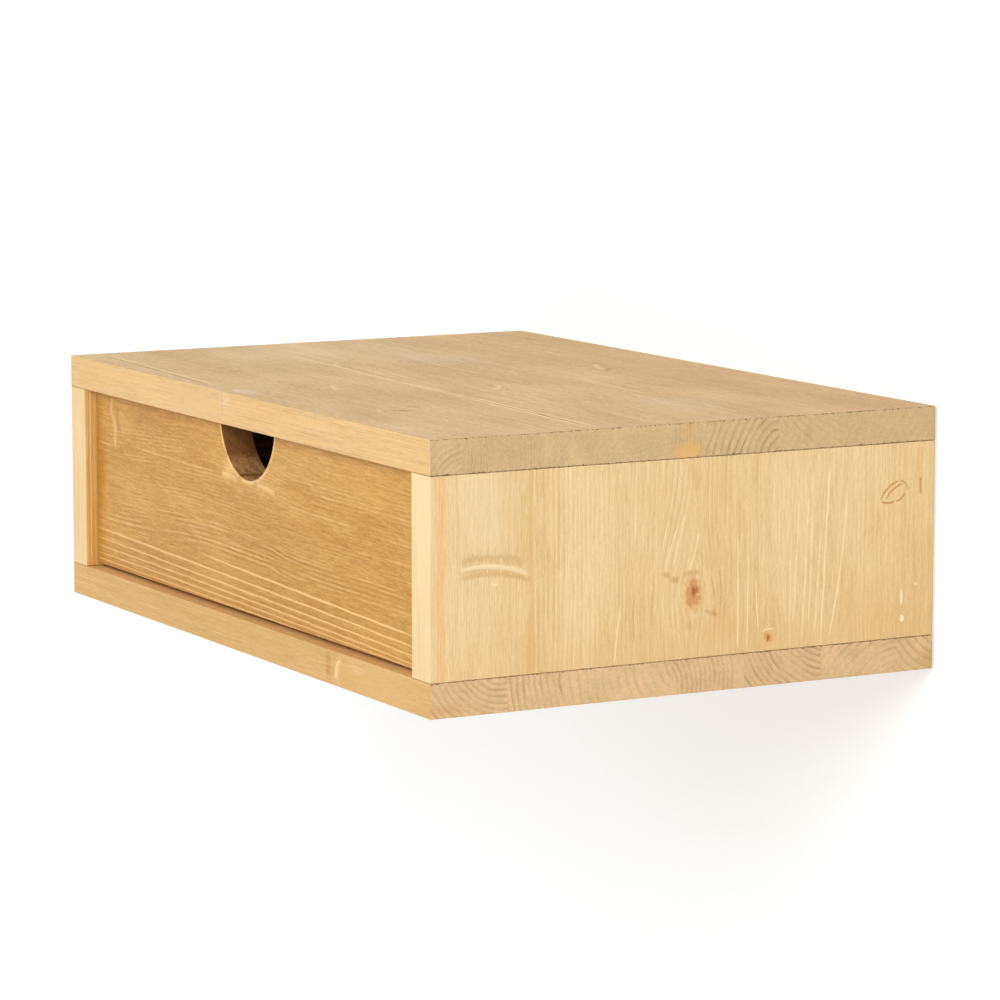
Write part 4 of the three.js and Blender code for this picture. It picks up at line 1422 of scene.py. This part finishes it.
def soften(piece: bpy.types.Object) -> None:
    """Shades a piece smooth across its shallow edges.

    Args:
        piece: The piece.
    """
    piece.data.shade_smooth()
    mesh = bmesh.new()
    mesh.from_mesh(piece.data)
    for edge in mesh.edges:
        edge.smooth = len(edge.link_faces) == 2 and edge.calc_face_angle(0.0) < SMOOTH_BELOW
    mesh.to_mesh(piece.data)
    mesh.free()


@dataclass(kw_only=True)
class Board:
    """One board with rounded arrises, worn ends and the marks that stand in its surface.

    Attributes:
        name: Name of the piece.
        node: The board it stands for.
        body: What it moves with.
        slot: Its material slot; not used.
        finish: Its wood.
        holes: Its holes.
        zones: Where the mesh is finer.
        step: Widest distance between the mesh's lines, in millimetres.
        arris: Radius of its arrises in millimetres.
        relief: How deep its surface lies at a place on a face that looks along an axis.
    """

    name: str
    node: str
    body: str
    slot: str
    finish: Spruce
    holes: tuple[Hole, ...]
    zones: tuple[Zone, ...] = ()
    step: float = 30.0
    arris: float = 0.25
    relief: Callable[[Vector, int], float] | None = None

    def __post_init__(self) -> None:
        """Looks its corners up in the frame."""
        self.low, self.high = corners(self.node)

    def _lines(self, axis: int) -> list[float]:
        """Places the mesh's lines along one axis, in order.

        Args:
            axis: The axis, 0, 1 or 2.

        Returns:
            The places in millimetres.
        """
        low, high, arris = self.low[axis], self.high[axis], self.arris
        inner = (low + 4 * arris, high - 4 * arris)
        marks = set(inner)
        for zone in self.zones:
            if zone.axis == axis:
                marks |= set(spaced(zone.start, zone.end, round((zone.end - zone.start) / zone.step)))
        ordered = sorted(mark for mark in marks if inner[0] <= mark <= inner[1])
        lines = [low, low + arris]
        for start, end in itertools.pairwise(ordered):
            lines += spaced(start, end, math.ceil((end - start) / self.step))[:-1]
        return [*lines, ordered[-1], high - arris, high]

    def _crumble(self, place: Vector) -> Vector:
        """Moves a point on an arris of the ends inward where fibres broke out.

        Args:
            place: A point of the mesh on an arris.

        Returns:
            The point, where it goes.
        """
        deep, far = self.finish.lay.value[1:]
        inset = [min(place[axis] - self.low[axis], self.high[axis] - place[axis]) for axis in (deep, far)]
        if max(inset) > 2 * self.arris:
            return place
        spot = Vector(part * scale for part, scale in zip(place, CHIP_SCALE)) + Vector(CHIP_START)
        size = max(0.0, noise.noise(spot) - CHIP_LEAST) * CHIP_DEPTH
        middle = (self.low + self.high) / 2
        moved = place.copy()
        for axis in (deep, far):
            moved[axis] += math.copysign(size, middle[axis] - place[axis])
        return moved

    def _point(self, place: Vector, face: int) -> Vector:
        """Rounds and wears the box at a crossing of the mesh's lines.

        Args:
            place: The crossing, on the sharp box.
            face: Axis that its face looks along.

        Returns:
            The point of the mesh.
        """
        bounds = zip(place, self.low, self.high)
        held = Vector(min(max(part, low + self.arris), high - self.arris) for part, low, high in bounds)
        out = place - held
        rounded = held + out.normalized() * self.arris
        if sum(abs(part) > 1e-6 for part in out) > 1:
            return self._crumble(rounded)
        if self.relief is not None:
            rounded[face] -= math.copysign(self.relief(rounded, face), out[face])
        return rounded

    def _mesh(self) -> bmesh.types.BMesh:
        """Builds the board's mesh, a closed box of rows of faces.

        Returns:
            The mesh, in metres.
        """
        lines = [self._lines(axis) for axis in range(3)]
        mesh = bmesh.new()
        found: dict[tuple[int, ...], bmesh.types.BMVert] = {}
        for axis in range(3):
            wide, tall = (axis + 1) % 3, (axis + 2) % 3
            sides = (0, len(lines[axis]) - 1)
            rows = itertools.product(sides, range(len(lines[wide]) - 1), range(len(lines[tall]) - 1))
            for side, column, row in rows:
                quad = [(column, row), (column + 1, row), (column + 1, row + 1), (column, row + 1)]
                face = []
                for first, second in quad if side else reversed(quad):
                    key = [side] * 3
                    key[wide], key[tall] = first, second
                    if tuple(key) not in found:
                        place = Vector(along[turn] for along, turn in zip(lines, key))
                        found[tuple(key)] = mesh.verts.new(self._point(place, axis) * MM)
                    face.append(found[tuple(key)])
                mesh.faces.new(face)
        return mesh

    def build(self) -> bpy.types.Object:
        """Builds the board.

        Returns:
            The piece, dressed and riding on its body.
        """
        piece = add_mesh(self.name, self._mesh(), self.finish.build())
        drill(piece, self.holes)
        soften(piece)
        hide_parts(self.node)
        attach(piece, self.body)
        return piece


@dataclass(frozen=True)
class Ripple:
    """A compression ripple across the grain: a low crest between two shallow troughs.

    Attributes:
        start: Where it starts across the board, in millimetres.
        end: Where it ends.
        height: Height of its middle along the board.
        bow: How far its ends hang below its middle.
        slope: How far it falls for each millimetre across.
        depth: Depth of the deeper trough.
        fade: Stretch over which it runs out at its ends.
        troughs: Each trough's share of the depth, its place off the crest and half its width.
    """

    start: float = -284.5
    end: float = -243.0
    height: float = 4.8
    bow: float = 3.0
    slope: float = -0.08
    depth: float = 0.85
    fade: float = 4.0
    troughs: tuple[Triple, ...] = ((0.62, 2.9, 1.9), (1.0, -2.5, 1.2))

    def crest(self, across: float) -> float:
        """Finds the height of the crest at a place across the board.

        Args:
            across: The place.

        Returns:
            The height along the board.
        """
        off = across - (self.start + self.end) / 2
        share = off / (self.end - self.start) * 2
        return self.height + self.slope * off - self.bow * share * share

    def depth_at(self, across: float, along: float) -> float:
        """Finds how deep the troughs are at a place across and along the board.

        Args:
            across: Place across the board.
            along: Place along it.

        Returns:
            The depth.
        """
        inside = min(across - self.start, self.end - across) / self.fade
        if inside <= 0:
            return 0.0
        inside = min(1.0, inside)
        off = along - self.crest(across)
        dips = sum(
            share * math.exp(-(((off - place) / width) ** 2)) for share, place, width in self.troughs
        )
        return self.depth * inside * inside * (3 - 2 * inside) * dips


def side_relief(place: Vector, face: int) -> float:
    """Finds how deep the right side board's outer face lies below its outline.

    Args:
        place: A point of the face in millimetres.
        face: Axis that the face looks along.

    Returns:
        The depth in millimetres, with the ripple and the low rims round the knots.
    """
    if face != 0 or place[0] < 0:
        return 0.0
    depth = Ripple().depth_at(place[1], place[2])
    for knot in RIGHT_KNOTS:
        aside = (place[1] - knot.place[0]) / (knot.size[0] * RIM_STRETCH[0])
        away = (place[2] - knot.place[1]) / (knot.size[1] * RIM_STRETCH[1])
        depth += RIM_DEPTH * math.exp(-(((math.hypot(aside, away) - RIM_RADIUS) / RIM_WIDTH) ** 2))
    return depth


@dataclass(frozen=True)
class Pull:
    """The round finger pull of the drawer front.

    Attributes:
        centre: Its centre in X and Z, in millimetres.
        radius: Its radius.
        turns: Number of flats that it is drawn with.
        rim_turns: Number of strokes that its pale rim is drawn with.
        rim_angles: Where the pale rim starts and ends, in degrees.
        rim_outside: How far outside the pull it runs.
        rim_width: Half its width.
        lines: Number of growth lines on its wall.
        line_start: Start of the first of them, through and along the front.
        line_end: Its end.
        start_step: From the start of one line to the start of the next.
        end_step: From the end of one line to the end of the next.
    """

    centre: Pair = (0.0, 56.7)
    radius: float = 34.0
    turns: int = 72
    rim_turns: int = 5
    rim_angles: Pair = (-172.0, -8.0)
    rim_outside: float = 1.0
    rim_width: float = 1.5
    lines: int = 7
    line_start: Pair = (-291.0, -30.0)
    line_end: Pair = (-281.5, -23.0)
    start_step: Pair = (0.9, 2.2)
    end_step: Pair = (0.4, 2.6)

    def arc(self, inset: float, start: float, end: float, turns: int) -> list[Pair]:
        """Draws an arc in X and Z.

        Args:
            inset: How far outside the pull it runs, in millimetres.
            start: Angle where it starts.
            end: Angle where it ends.
            turns: Number of its steps.

        Returns:
            Its points.
        """
        radius = self.radius + inset
        angles = spaced(start, end, turns)
        return [
            (self.centre[0] + radius * math.cos(angle), self.centre[1] + radius * math.sin(angle))
            for angle in angles
        ]

    def rim(self) -> tuple[Stroke, ...]:
        """Draws the pale rim as strokes, up and along the front.

        Returns:
            The strokes.
        """
        first, last = (math.radians(angle) for angle in self.rim_angles)
        points = [(z, x) for x, z in self.arc(self.rim_outside, first, last, self.rim_turns)]
        sag = (self.radius + self.rim_outside) * (1 - math.cos((last - first) / self.rim_turns / 2))
        return tuple(
            Stroke(start, end, Mark.PALE, Face.LONG, self.rim_width, bow=sag, sway=0.4)
            for start, end in itertools.pairwise(points)
        )

    def wall_lines(self) -> tuple[Stroke, ...]:
        """Draws the growth lines that slant across the wall, through and along the front.

        Returns:
            The strokes.
        """
        rows = []
        for turn in range(self.lines):
            start = (place + step * turn for place, step in zip(self.line_start, self.start_step))
            end = (place + step * turn for place, step in zip(self.line_end, self.end_step))
            rows.append((*start, *end, 0.5, 0.75, 0.0, 0.3, 0.4))
        return strokes(Mark.SHADE, Face.EDGE, *rows)


@dataclass(kw_only=True)
class Front(Board):
    """The drawer front: a board with the finger pull cut out of its top edge.

    Attributes:
        pull: The finger pull.
        turns: Number of steps that its arrises are rounded in.
    """

    pull: Pull
    turns: int = 3

    def _outline(self, inset: float) -> list[Pair]:
        """Draws the outline in X and Z, moved inward, turning to the left seen from the front.

        Args:
            inset: How far it is moved, in millimetres.

        Returns:
            Its points.
        """
        top = self.high[2] - inset
        meet = math.asin((self.pull.centre[1] - top) / (self.pull.radius + inset))
        arc = self.pull.arc(inset, -meet, meet - math.pi, self.pull.turns)
        left, right, bottom = self.low[0] + inset, self.high[0] - inset, self.low[2] + inset
        return [(left, bottom), (right, bottom), (right, top), *arc, (left, top)]

    def _mesh(self) -> bmesh.types.BMesh:
        """Builds the front's mesh, outline behind outline.

        Returns:
            The mesh, in metres.
        """
        near, far = self.low[1], self.high[1]
        rounding = [
            (self.arris * (1 - math.sin(angle)), self.arris * (1 - math.cos(angle)))
            for angle in spaced(0, math.pi / 2, self.turns)
        ]
        rings = [(inset, near + depth) for inset, depth in rounding]
        rings += [(inset, far - depth) for inset, depth in reversed(rounding)]
        mesh = bmesh.new()
        loops = []
        for inset, depth in rings:
            loops.append([mesh.verts.new((x * MM, depth * MM, z * MM)) for x, z in self._outline(inset)])
        mesh.faces.new(loops[0])
        mesh.faces.new(list(reversed(loops[-1])))
        for before, behind in itertools.pairwise(loops):
            for turn in range(len(before)):
                after = (turn + 1) % len(before)
                mesh.faces.new((before[after], before[turn], behind[turn], behind[after]))
        return mesh


@dataclass(frozen=True)
class Studio:
    """White room: a floor, a wall that the nightstand hangs on, soft lamps and the camera.

    Attributes:
        camera_place: Where the camera stands, in metres.
        camera_yaw: Its turn to the right of the wall's front, in degrees.
        camera_pitch: How far it looks down, in degrees.
        lens: Its focal length in millimetres.
        sensor: Width of its picture in millimetres.
        clip: Nearest and farthest distance that it sees, in metres.
        floor_height: Height of the floor in metres.
        wall_gap: Room between the nightstand's back and the wall, in metres.
        touching: Distance under which a surface of the room lets light by, in metres.
        room: Width of the room in metres.
        fill: Light of the world.
        bounce: Colour of the room for light that isn't looked at.
        wall_white: What the camera sees of the wall whatever the light, and its colour.
        floor_white: The same for the floor.
        lamps: Each lamp's name, place in metres and power in watts.
        lamp_size: Width of the lamps in metres.
        aim: What the lamps look at.
    """

    camera_place: Triple = (2.0666, -1.2679, 0.3339)
    camera_yaw: float = 61.326
    camera_pitch: float = 8.032
    lens: float = 153.5
    sensor: float = 36.0
    clip: Pair = (0.05, 60.0)
    floor_height: float = -0.62
    wall_gap: float = 0.002
    touching: float = 0.006
    room: float = 9.0
    fill: float = 0.54
    bounce: float = 0.8
    wall_white: Pair = (0.5, 0.6)
    floor_white: Pair = (0.9, 0.12)
    lamps: tuple[tuple[str, Triple, float], ...] = (
        ("key_lamp", (2.0, -2.75, 1.5), 64.0),
        ("side_lamp", (-2.2, -2.6, 0.9), 14.0),
    )
    lamp_size: float = 1.8
    aim: Triple = (0.0, -0.15, 0.0)

    def surface(self, name: str, glow: float, pale: float) -> bpy.types.Material:
        """Makes a white surface that stays white to the camera and keeps the object's shadow.

        Args:
            name: Name of the material.
            glow: White that the camera sees whatever the light.
            pale: Colour that takes light and shadow.

        Returns:
            The material.
        """
        made = Finish(name)
        rays = made.node("LightPath", {})
        seen = made.seen(rays)
        speckle = made.noise(made.place, (2.0, 2.0, 2.0), 3, 0.7)
        tone = made.mix(seen, (*(self.bounce,) * 3, 1.0), (*(pale,) * 3, 1.0))
        made.surface(tone, 0.9, speckle, 0.02, specular=0.1)
        light = made.node("Emission", {"Strength": made.product(seen, glow)})[0]
        both = made.node("AddShader", {0: made.shader.outputs[0], 1: light})[0]
        clear = made.node("BsdfTransparent", {})[0]
        behind = made.node("NewGeometry", {})["Backfacing"]
        open_side = made.most(behind, made.math("LESS_THAN", rays["Ray Length"], self.touching))
        made.put(made.output.inputs[0], made.node("MixShader", {0: open_side, 1: both, 2: clear})[0])
        return made.material

    def sheet(self, name: str, rim: list[Triple], material: bpy.types.Material) -> None:
        """Adds a flat sheet to the stage, from its corners in metres, in order.

        Args:
            name: Name of the sheet.
            rim: Its corners.
            material: Its finish.
        """
        mesh = bmesh.new()
        mesh.faces.new([mesh.verts.new(corner) for corner in rim])
        add_mesh(name, mesh, material)

    def lamp(self, name: str, place: Triple, power: float) -> None:
        """Hangs a soft lamp that looks at the nightstand.

        Args:
            name: Name of the lamp.
            place: Where it hangs, in metres.
            power: Its power in watts.
        """
        light = bpy.data.lights.new(name, "AREA")
        light.shape, light.size, light.energy = "DISK", self.lamp_size, power
        hung = bpy.data.objects.new(name, light)
        hung.location = place
        hung.rotation_euler = (Vector(self.aim) - Vector(place)).to_track_quat("-Z", "Y").to_euler()
        hung.visible_camera = False
        bpy.context.scene.collection.objects.link(hung)

    def world(self) -> None:
        """Makes the world white to the eye and plain in its light."""
        world = bpy.data.worlds.new("white_room")
        bpy.context.scene.world = world
        world.use_nodes = True
        made = Nodes(world.node_tree)
        level = made.node("MapRange", {0: made.seen(made.node("LightPath", {})), 3: self.fill, 4: 1.0})[0]
        shade = made.node("Background", {"Color": (1, 1, 1, 1), "Strength": level})[0]
        made.node("OutputWorld", {0: shade})

    def camera(self) -> None:
        """Sets the camera up where the photograph was taken from."""
        data = bpy.data.cameras.new("camera")
        data.lens, data.sensor_width = self.lens, self.sensor
        data.clip_start, data.clip_end = self.clip
        held = bpy.data.objects.new("camera", data)
        yaw, pitch = math.radians(self.camera_yaw), math.radians(self.camera_pitch)
        back = Vector((math.sin(yaw) * math.cos(pitch), -math.cos(yaw) * math.cos(pitch), math.sin(pitch)))
        held.location = self.camera_place
        held.rotation_mode = "QUATERNION"
        held.rotation_quaternion = (-back).to_track_quat("-Z", "Y")
        bpy.context.scene.collection.objects.link(held)
        bpy.context.scene.camera = held

    def build(self) -> None:
        """Builds the room, its light and the camera."""
        far, low, back = self.room / 2, self.floor_height, self.wall_gap
        wall = self.surface("wall_paint", *self.wall_white)
        floor = self.surface("floor_paint", *self.floor_white)
        self.sheet("wall", [(-far, back, low), (far, back, low), (far, back, far), (-far, back, far)], wall)
        self.sheet("floor", [(-far, -far, low), (far, -far, low), (far, far, low), (-far, far, low)], floor)
        self.world()
        for lamp in self.lamps:
            self.lamp(*lamp)
        self.camera()
        bpy.context.scene.view_settings.view_transform = "Standard"


@dataclass(kw_only=True)
class Assembly:
    """A part of the nightstand that is put together from pieces.

    Attributes:
        screw: Finish of its screws.
        pieces: Its pieces, new ones and parts of the frame with their finish on.
    """

    screw: bpy.types.Material
    pieces: list[bpy.types.Object] = field(default_factory=list)

    def dress(self, material: bpy.types.Material, *parts: str) -> None:
        """Gives parts of the frame their finish.

        Args:
            material: Their finish.
            parts: Parts of their names.
        """
        for name in names(*parts):
            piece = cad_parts[name]
            for slot in piece.material_slots:
                slot.material = material
            if not piece.material_slots:
                piece.data.materials.append(material)
            self.pieces.append(piece)


@dataclass(kw_only=True)
class Carcass(Assembly):
    """The box on the wall: two shelves, two sides, the back, their dowels and the hangers.

    Sizes are in millimetres, and each pair is a board's lowest and highest place through it.

    Attributes:
        plate: Finish of the hanger plates.
        top: The top board.
        bottom: The bottom board, told lower than it is, which keeps its lower arris free of crumbs.
        left: The left side board.
        right: The right side board.
        rear: The back board.
        chipped: Where the shelves' mesh is fine enough for the chips of their ends.
        marked: Where the right side's mesh is fine enough for the ripple and the knots' rims.
        left_step: Widest distance between the lines of the left side's mesh.
        right_step: The same for the right side.
    """

    plate: bpy.types.Material
    top: Pair = (52.0, 70.0)
    bottom: Pair = (-80.0, -52.0)
    left: Pair = (-225.0, -205.0)
    right: Pair = (205.0, 225.0)
    rear: Pair = (-18.0, 0.0)
    chipped: tuple[Zone, ...] = (Zone(1, -299.0, -1.0, 1.1),)
    marked: tuple[Zone, ...] = each(
        Zone, (1, -288.0, -240.0, 1.2), (2, -3.0, 11.0, 0.5), (1, -156.0, -140.0, 0.9),
        (2, -30.0, -7.0, 0.9), (1, -107.0, -98.0, 0.9), (2, -50.0, -39.0, 0.9),
    )
    left_step: float = 12.0
    right_step: float = 6.0

    def shelves(self) -> None:
        """Builds the top and the bottom board."""
        upper = Spruce(
            "spruce_top_board", Lay.SHELF, SHELF_WOOD, TOP_STAVES, self.top, tints=TOP_TINTS,
            strokes=TOP_STROKES, bands=0.65, speckle=1.15, gloss=0.62,
        )
        lower = Spruce(
            "spruce_bottom_board", Lay.SHELF, LOWER_WOOD, BOTTOM_STAVES, self.bottom,
            tints=BOTTOM_TINTS, strokes=BOTTOM_STROKES, bands=0.7,
        )
        for level, wood in (("top", upper), ("bottom", lower)):
            board = Board(
                name=f"{level}_board", node=f"{level}_panel", body="carcass", slot="spruce_top",
                finish=wood,
                holes=holes_for("left|right", level, "front|rear", "dowel"),
                zones=self.chipped,
            )
            self.pieces.append(board.build())

    def sides(self) -> None:
        """Builds the two side boards."""
        left = Spruce(
            "spruce_left_side", Lay.UPRIGHT, PALE, LEFT_STAVES, self.left, knots=LEFT_KNOTS,
            tints=LEFT_TINTS, strokes=LEFT_STROKES, bands=0.6, speckle=0.6,
        )
        right = Spruce(
            "spruce_right_side", Lay.UPRIGHT, PALE, RIGHT_STAVES, self.right, knots=RIGHT_KNOTS,
            tints=RIGHT_TINTS, strokes=RIGHT_STROKES, folds=RIGHT_FOLDS, wander=4.0, bands=0.5,
            speckle=0.6,
        )
        plain = {"step": self.left_step}
        rippled = {"step": self.right_step, "zones": self.marked, "relief": side_relief}
        for side, wood, shape in (("left", left, plain), ("right", right, rippled)):
            holes = (
                *holes_for(side, "top|bottom", "front|rear", "dowel"),
                *holes_for(side, "back", "upper|lower", "dowel"),
                *holes_for(side, "outer_rail", "front|rear", "screw", radius=RAIL_SCREW_RADIUS),
            )
            board = Board(
                name=f"{side}_side_board", node=f"{side}_side_panel", body="carcass", slot="spruce_side",
                finish=wood, holes=holes, **shape,
            )
            self.pieces.append(board.build())

    def back(self) -> None:
        """Dresses the back board and the dowels."""
        wood = Spruce("spruce_back", Lay.FASCIA, PALE, BACK_STAVES, self.rear, knots=BACK_KNOTS)
        self.dress(wood.build(), "back_panel")
        upright, level = Beech("beech_upright", 2).build(), Beech("beech_level", 0).build()
        self.dress(upright, "left|right", "top|bottom", "front|rear", "dowel")
        self.dress(level, "left|right", "back", "upper|lower", "dowel")

    def build(self) -> None:
        """Builds the whole box, and dresses the two keyhole plates and their screws."""
        self.shelves()
        self.sides()
        self.back()
        self.dress(self.plate, "left|right", "hanger_plate")
        self.dress(self.screw, "left|right", "hanger", "upper|lower", "screw")


@dataclass(kw_only=True)
class Drawer(Assembly):
    """The drawer: a front with a round finger pull, a box of thinner boards and a plywood floor.

    Sizes are in millimetres, and each pair is a board's lowest and highest place through it.

    Attributes:
        pull: The finger pull.
        arris: Radius of the front's arrises.
        face: The front.
        left: The left side.
        right: The right side.
        rear: The back.
        floor: The plywood floor.
    """

    pull: Pull = Pull()
    arris: float = 0.3
    face: Pair = (-293.0, -275.0)
    left: Pair = (-192.0, -180.0)
    right: Pair = (180.0, 192.0)
    rear: Pair = (-37.0, -25.0)
    floor: Pair = (-36.0, -31.0)

    def front(self) -> None:
        """Builds the drawer front."""
        drawn = FRONT_STROKES + self.pull.rim() + self.pull.wall_lines()
        wood = Spruce(
            "spruce_drawer_front", Lay.FASCIA, FRONT_WOOD, FRONT_STAVES, self.face, tints=FRONT_TINTS,
            strokes=drawn, folds=FRONT_FOLDS, slant=0.028, glued=False, wander=1.6, line_width=1.0,
            bands=0.55, speckle=0.95, grain_relief=0.14, crumbs=0.3,
        )
        board = Front(
            name="drawer_front_board", node="drawer_front", body="drawer", slot="spruce_front", finish=wood,
            holes=holes_for("drawer", "left|right", "upper|lower", "dowel"), arris=self.arris,
            pull=self.pull,
        )
        self.pieces.append(board.build())

    def box(self) -> None:
        """Dresses the drawer's sides, back, floor, dowels and screws."""
        for side, through in (("left", self.left), ("right", self.right)):
            wood = Spruce(
                f"drawer_{side}_wood", Lay.RUNNER, DRAWER_WOOD, DRAWER_SIDE_STAVES, through, crumbs=0.4
            )
            self.dress(wood.build(), "drawer", side, "side")
        wood = Spruce(
            "drawer_back_wood", Lay.FASCIA, DRAWER_WOOD, DRAWER_BACK_STAVES, self.rear, crumbs=0.4
        )
        self.dress(wood.build(), "drawer_back")
        self.dress(Plywood("birch_plywood", *self.floor).build(), "drawer_floor")
        self.dress(Beech("beech_drawer", 1).build(), "drawer", "left|right", "upper|lower", "dowel")
        self.dress(self.screw, "drawer", "left|right", "upper|lower", "screw")
        self.dress(self.screw, "drawer_floor", "left|right", "screw")

    def build(self) -> None:
        """Builds the drawer."""
        self.front()
        self.box()


@dataclass(kw_only=True)
class Slides(Assembly):
    """The two ball slides with their rails, cages, levers, bumpers and screws."""

    def build(self) -> None:
        """Dresses both slides."""
        rail = Steel("zinc_plated_rail", paint(206, 208, 210), paint(158, 162, 168), 0.32)
        cage = Steel(
            "ball_cage_steel", paint(188, 188, 184), paint(132, 132, 130), 0.38, (0.25, 4.0, 0.25), 2.5
        )
        self.dress(rail.build(), "left|right", "slide", "outer|middle|inner", "rail")
        self.dress(cage.build(), "left|right", "slide", "outer|inner", "cage")
        plastic = Moulded("black_moulded_plastic").build()
        self.dress(plastic, "left|right", "slide", "release_lever|bumper")
        self.dress(self.screw, "left|right", "outer|inner", "rail", "front|rear", "screw")


def main() -> None:
    """Builds the room, the box, the drawer and its slides."""
    logging.basicConfig(level=logging.INFO, format="%(name)s: %(message)s")
    Studio().build()
    screw = Steel(
        "zinc_plated_screw", paint(214, 212, 204), paint(160, 156, 146), 0.3, (0.4, 0.4, 0.4), 2.0
    )
    plate = Steel(
        "zinc_plated_plate", paint(204, 206, 208), paint(150, 154, 160), 0.36, (0.3, 0.3, 20.0), 5.0
    )
    screws, plates = screw.build(), plate.build()
    for assembly in (Carcass(screw=screws, plate=plates), Drawer(screw=screws), Slides(screw=screws)):
        assembly.build()
        for piece in assembly.pieces:
            LOG.info("%s: %s, %d faces", type(assembly).__name__, piece.name, len(piece.data.polygons))


if __name__ == "__main__":
    main()
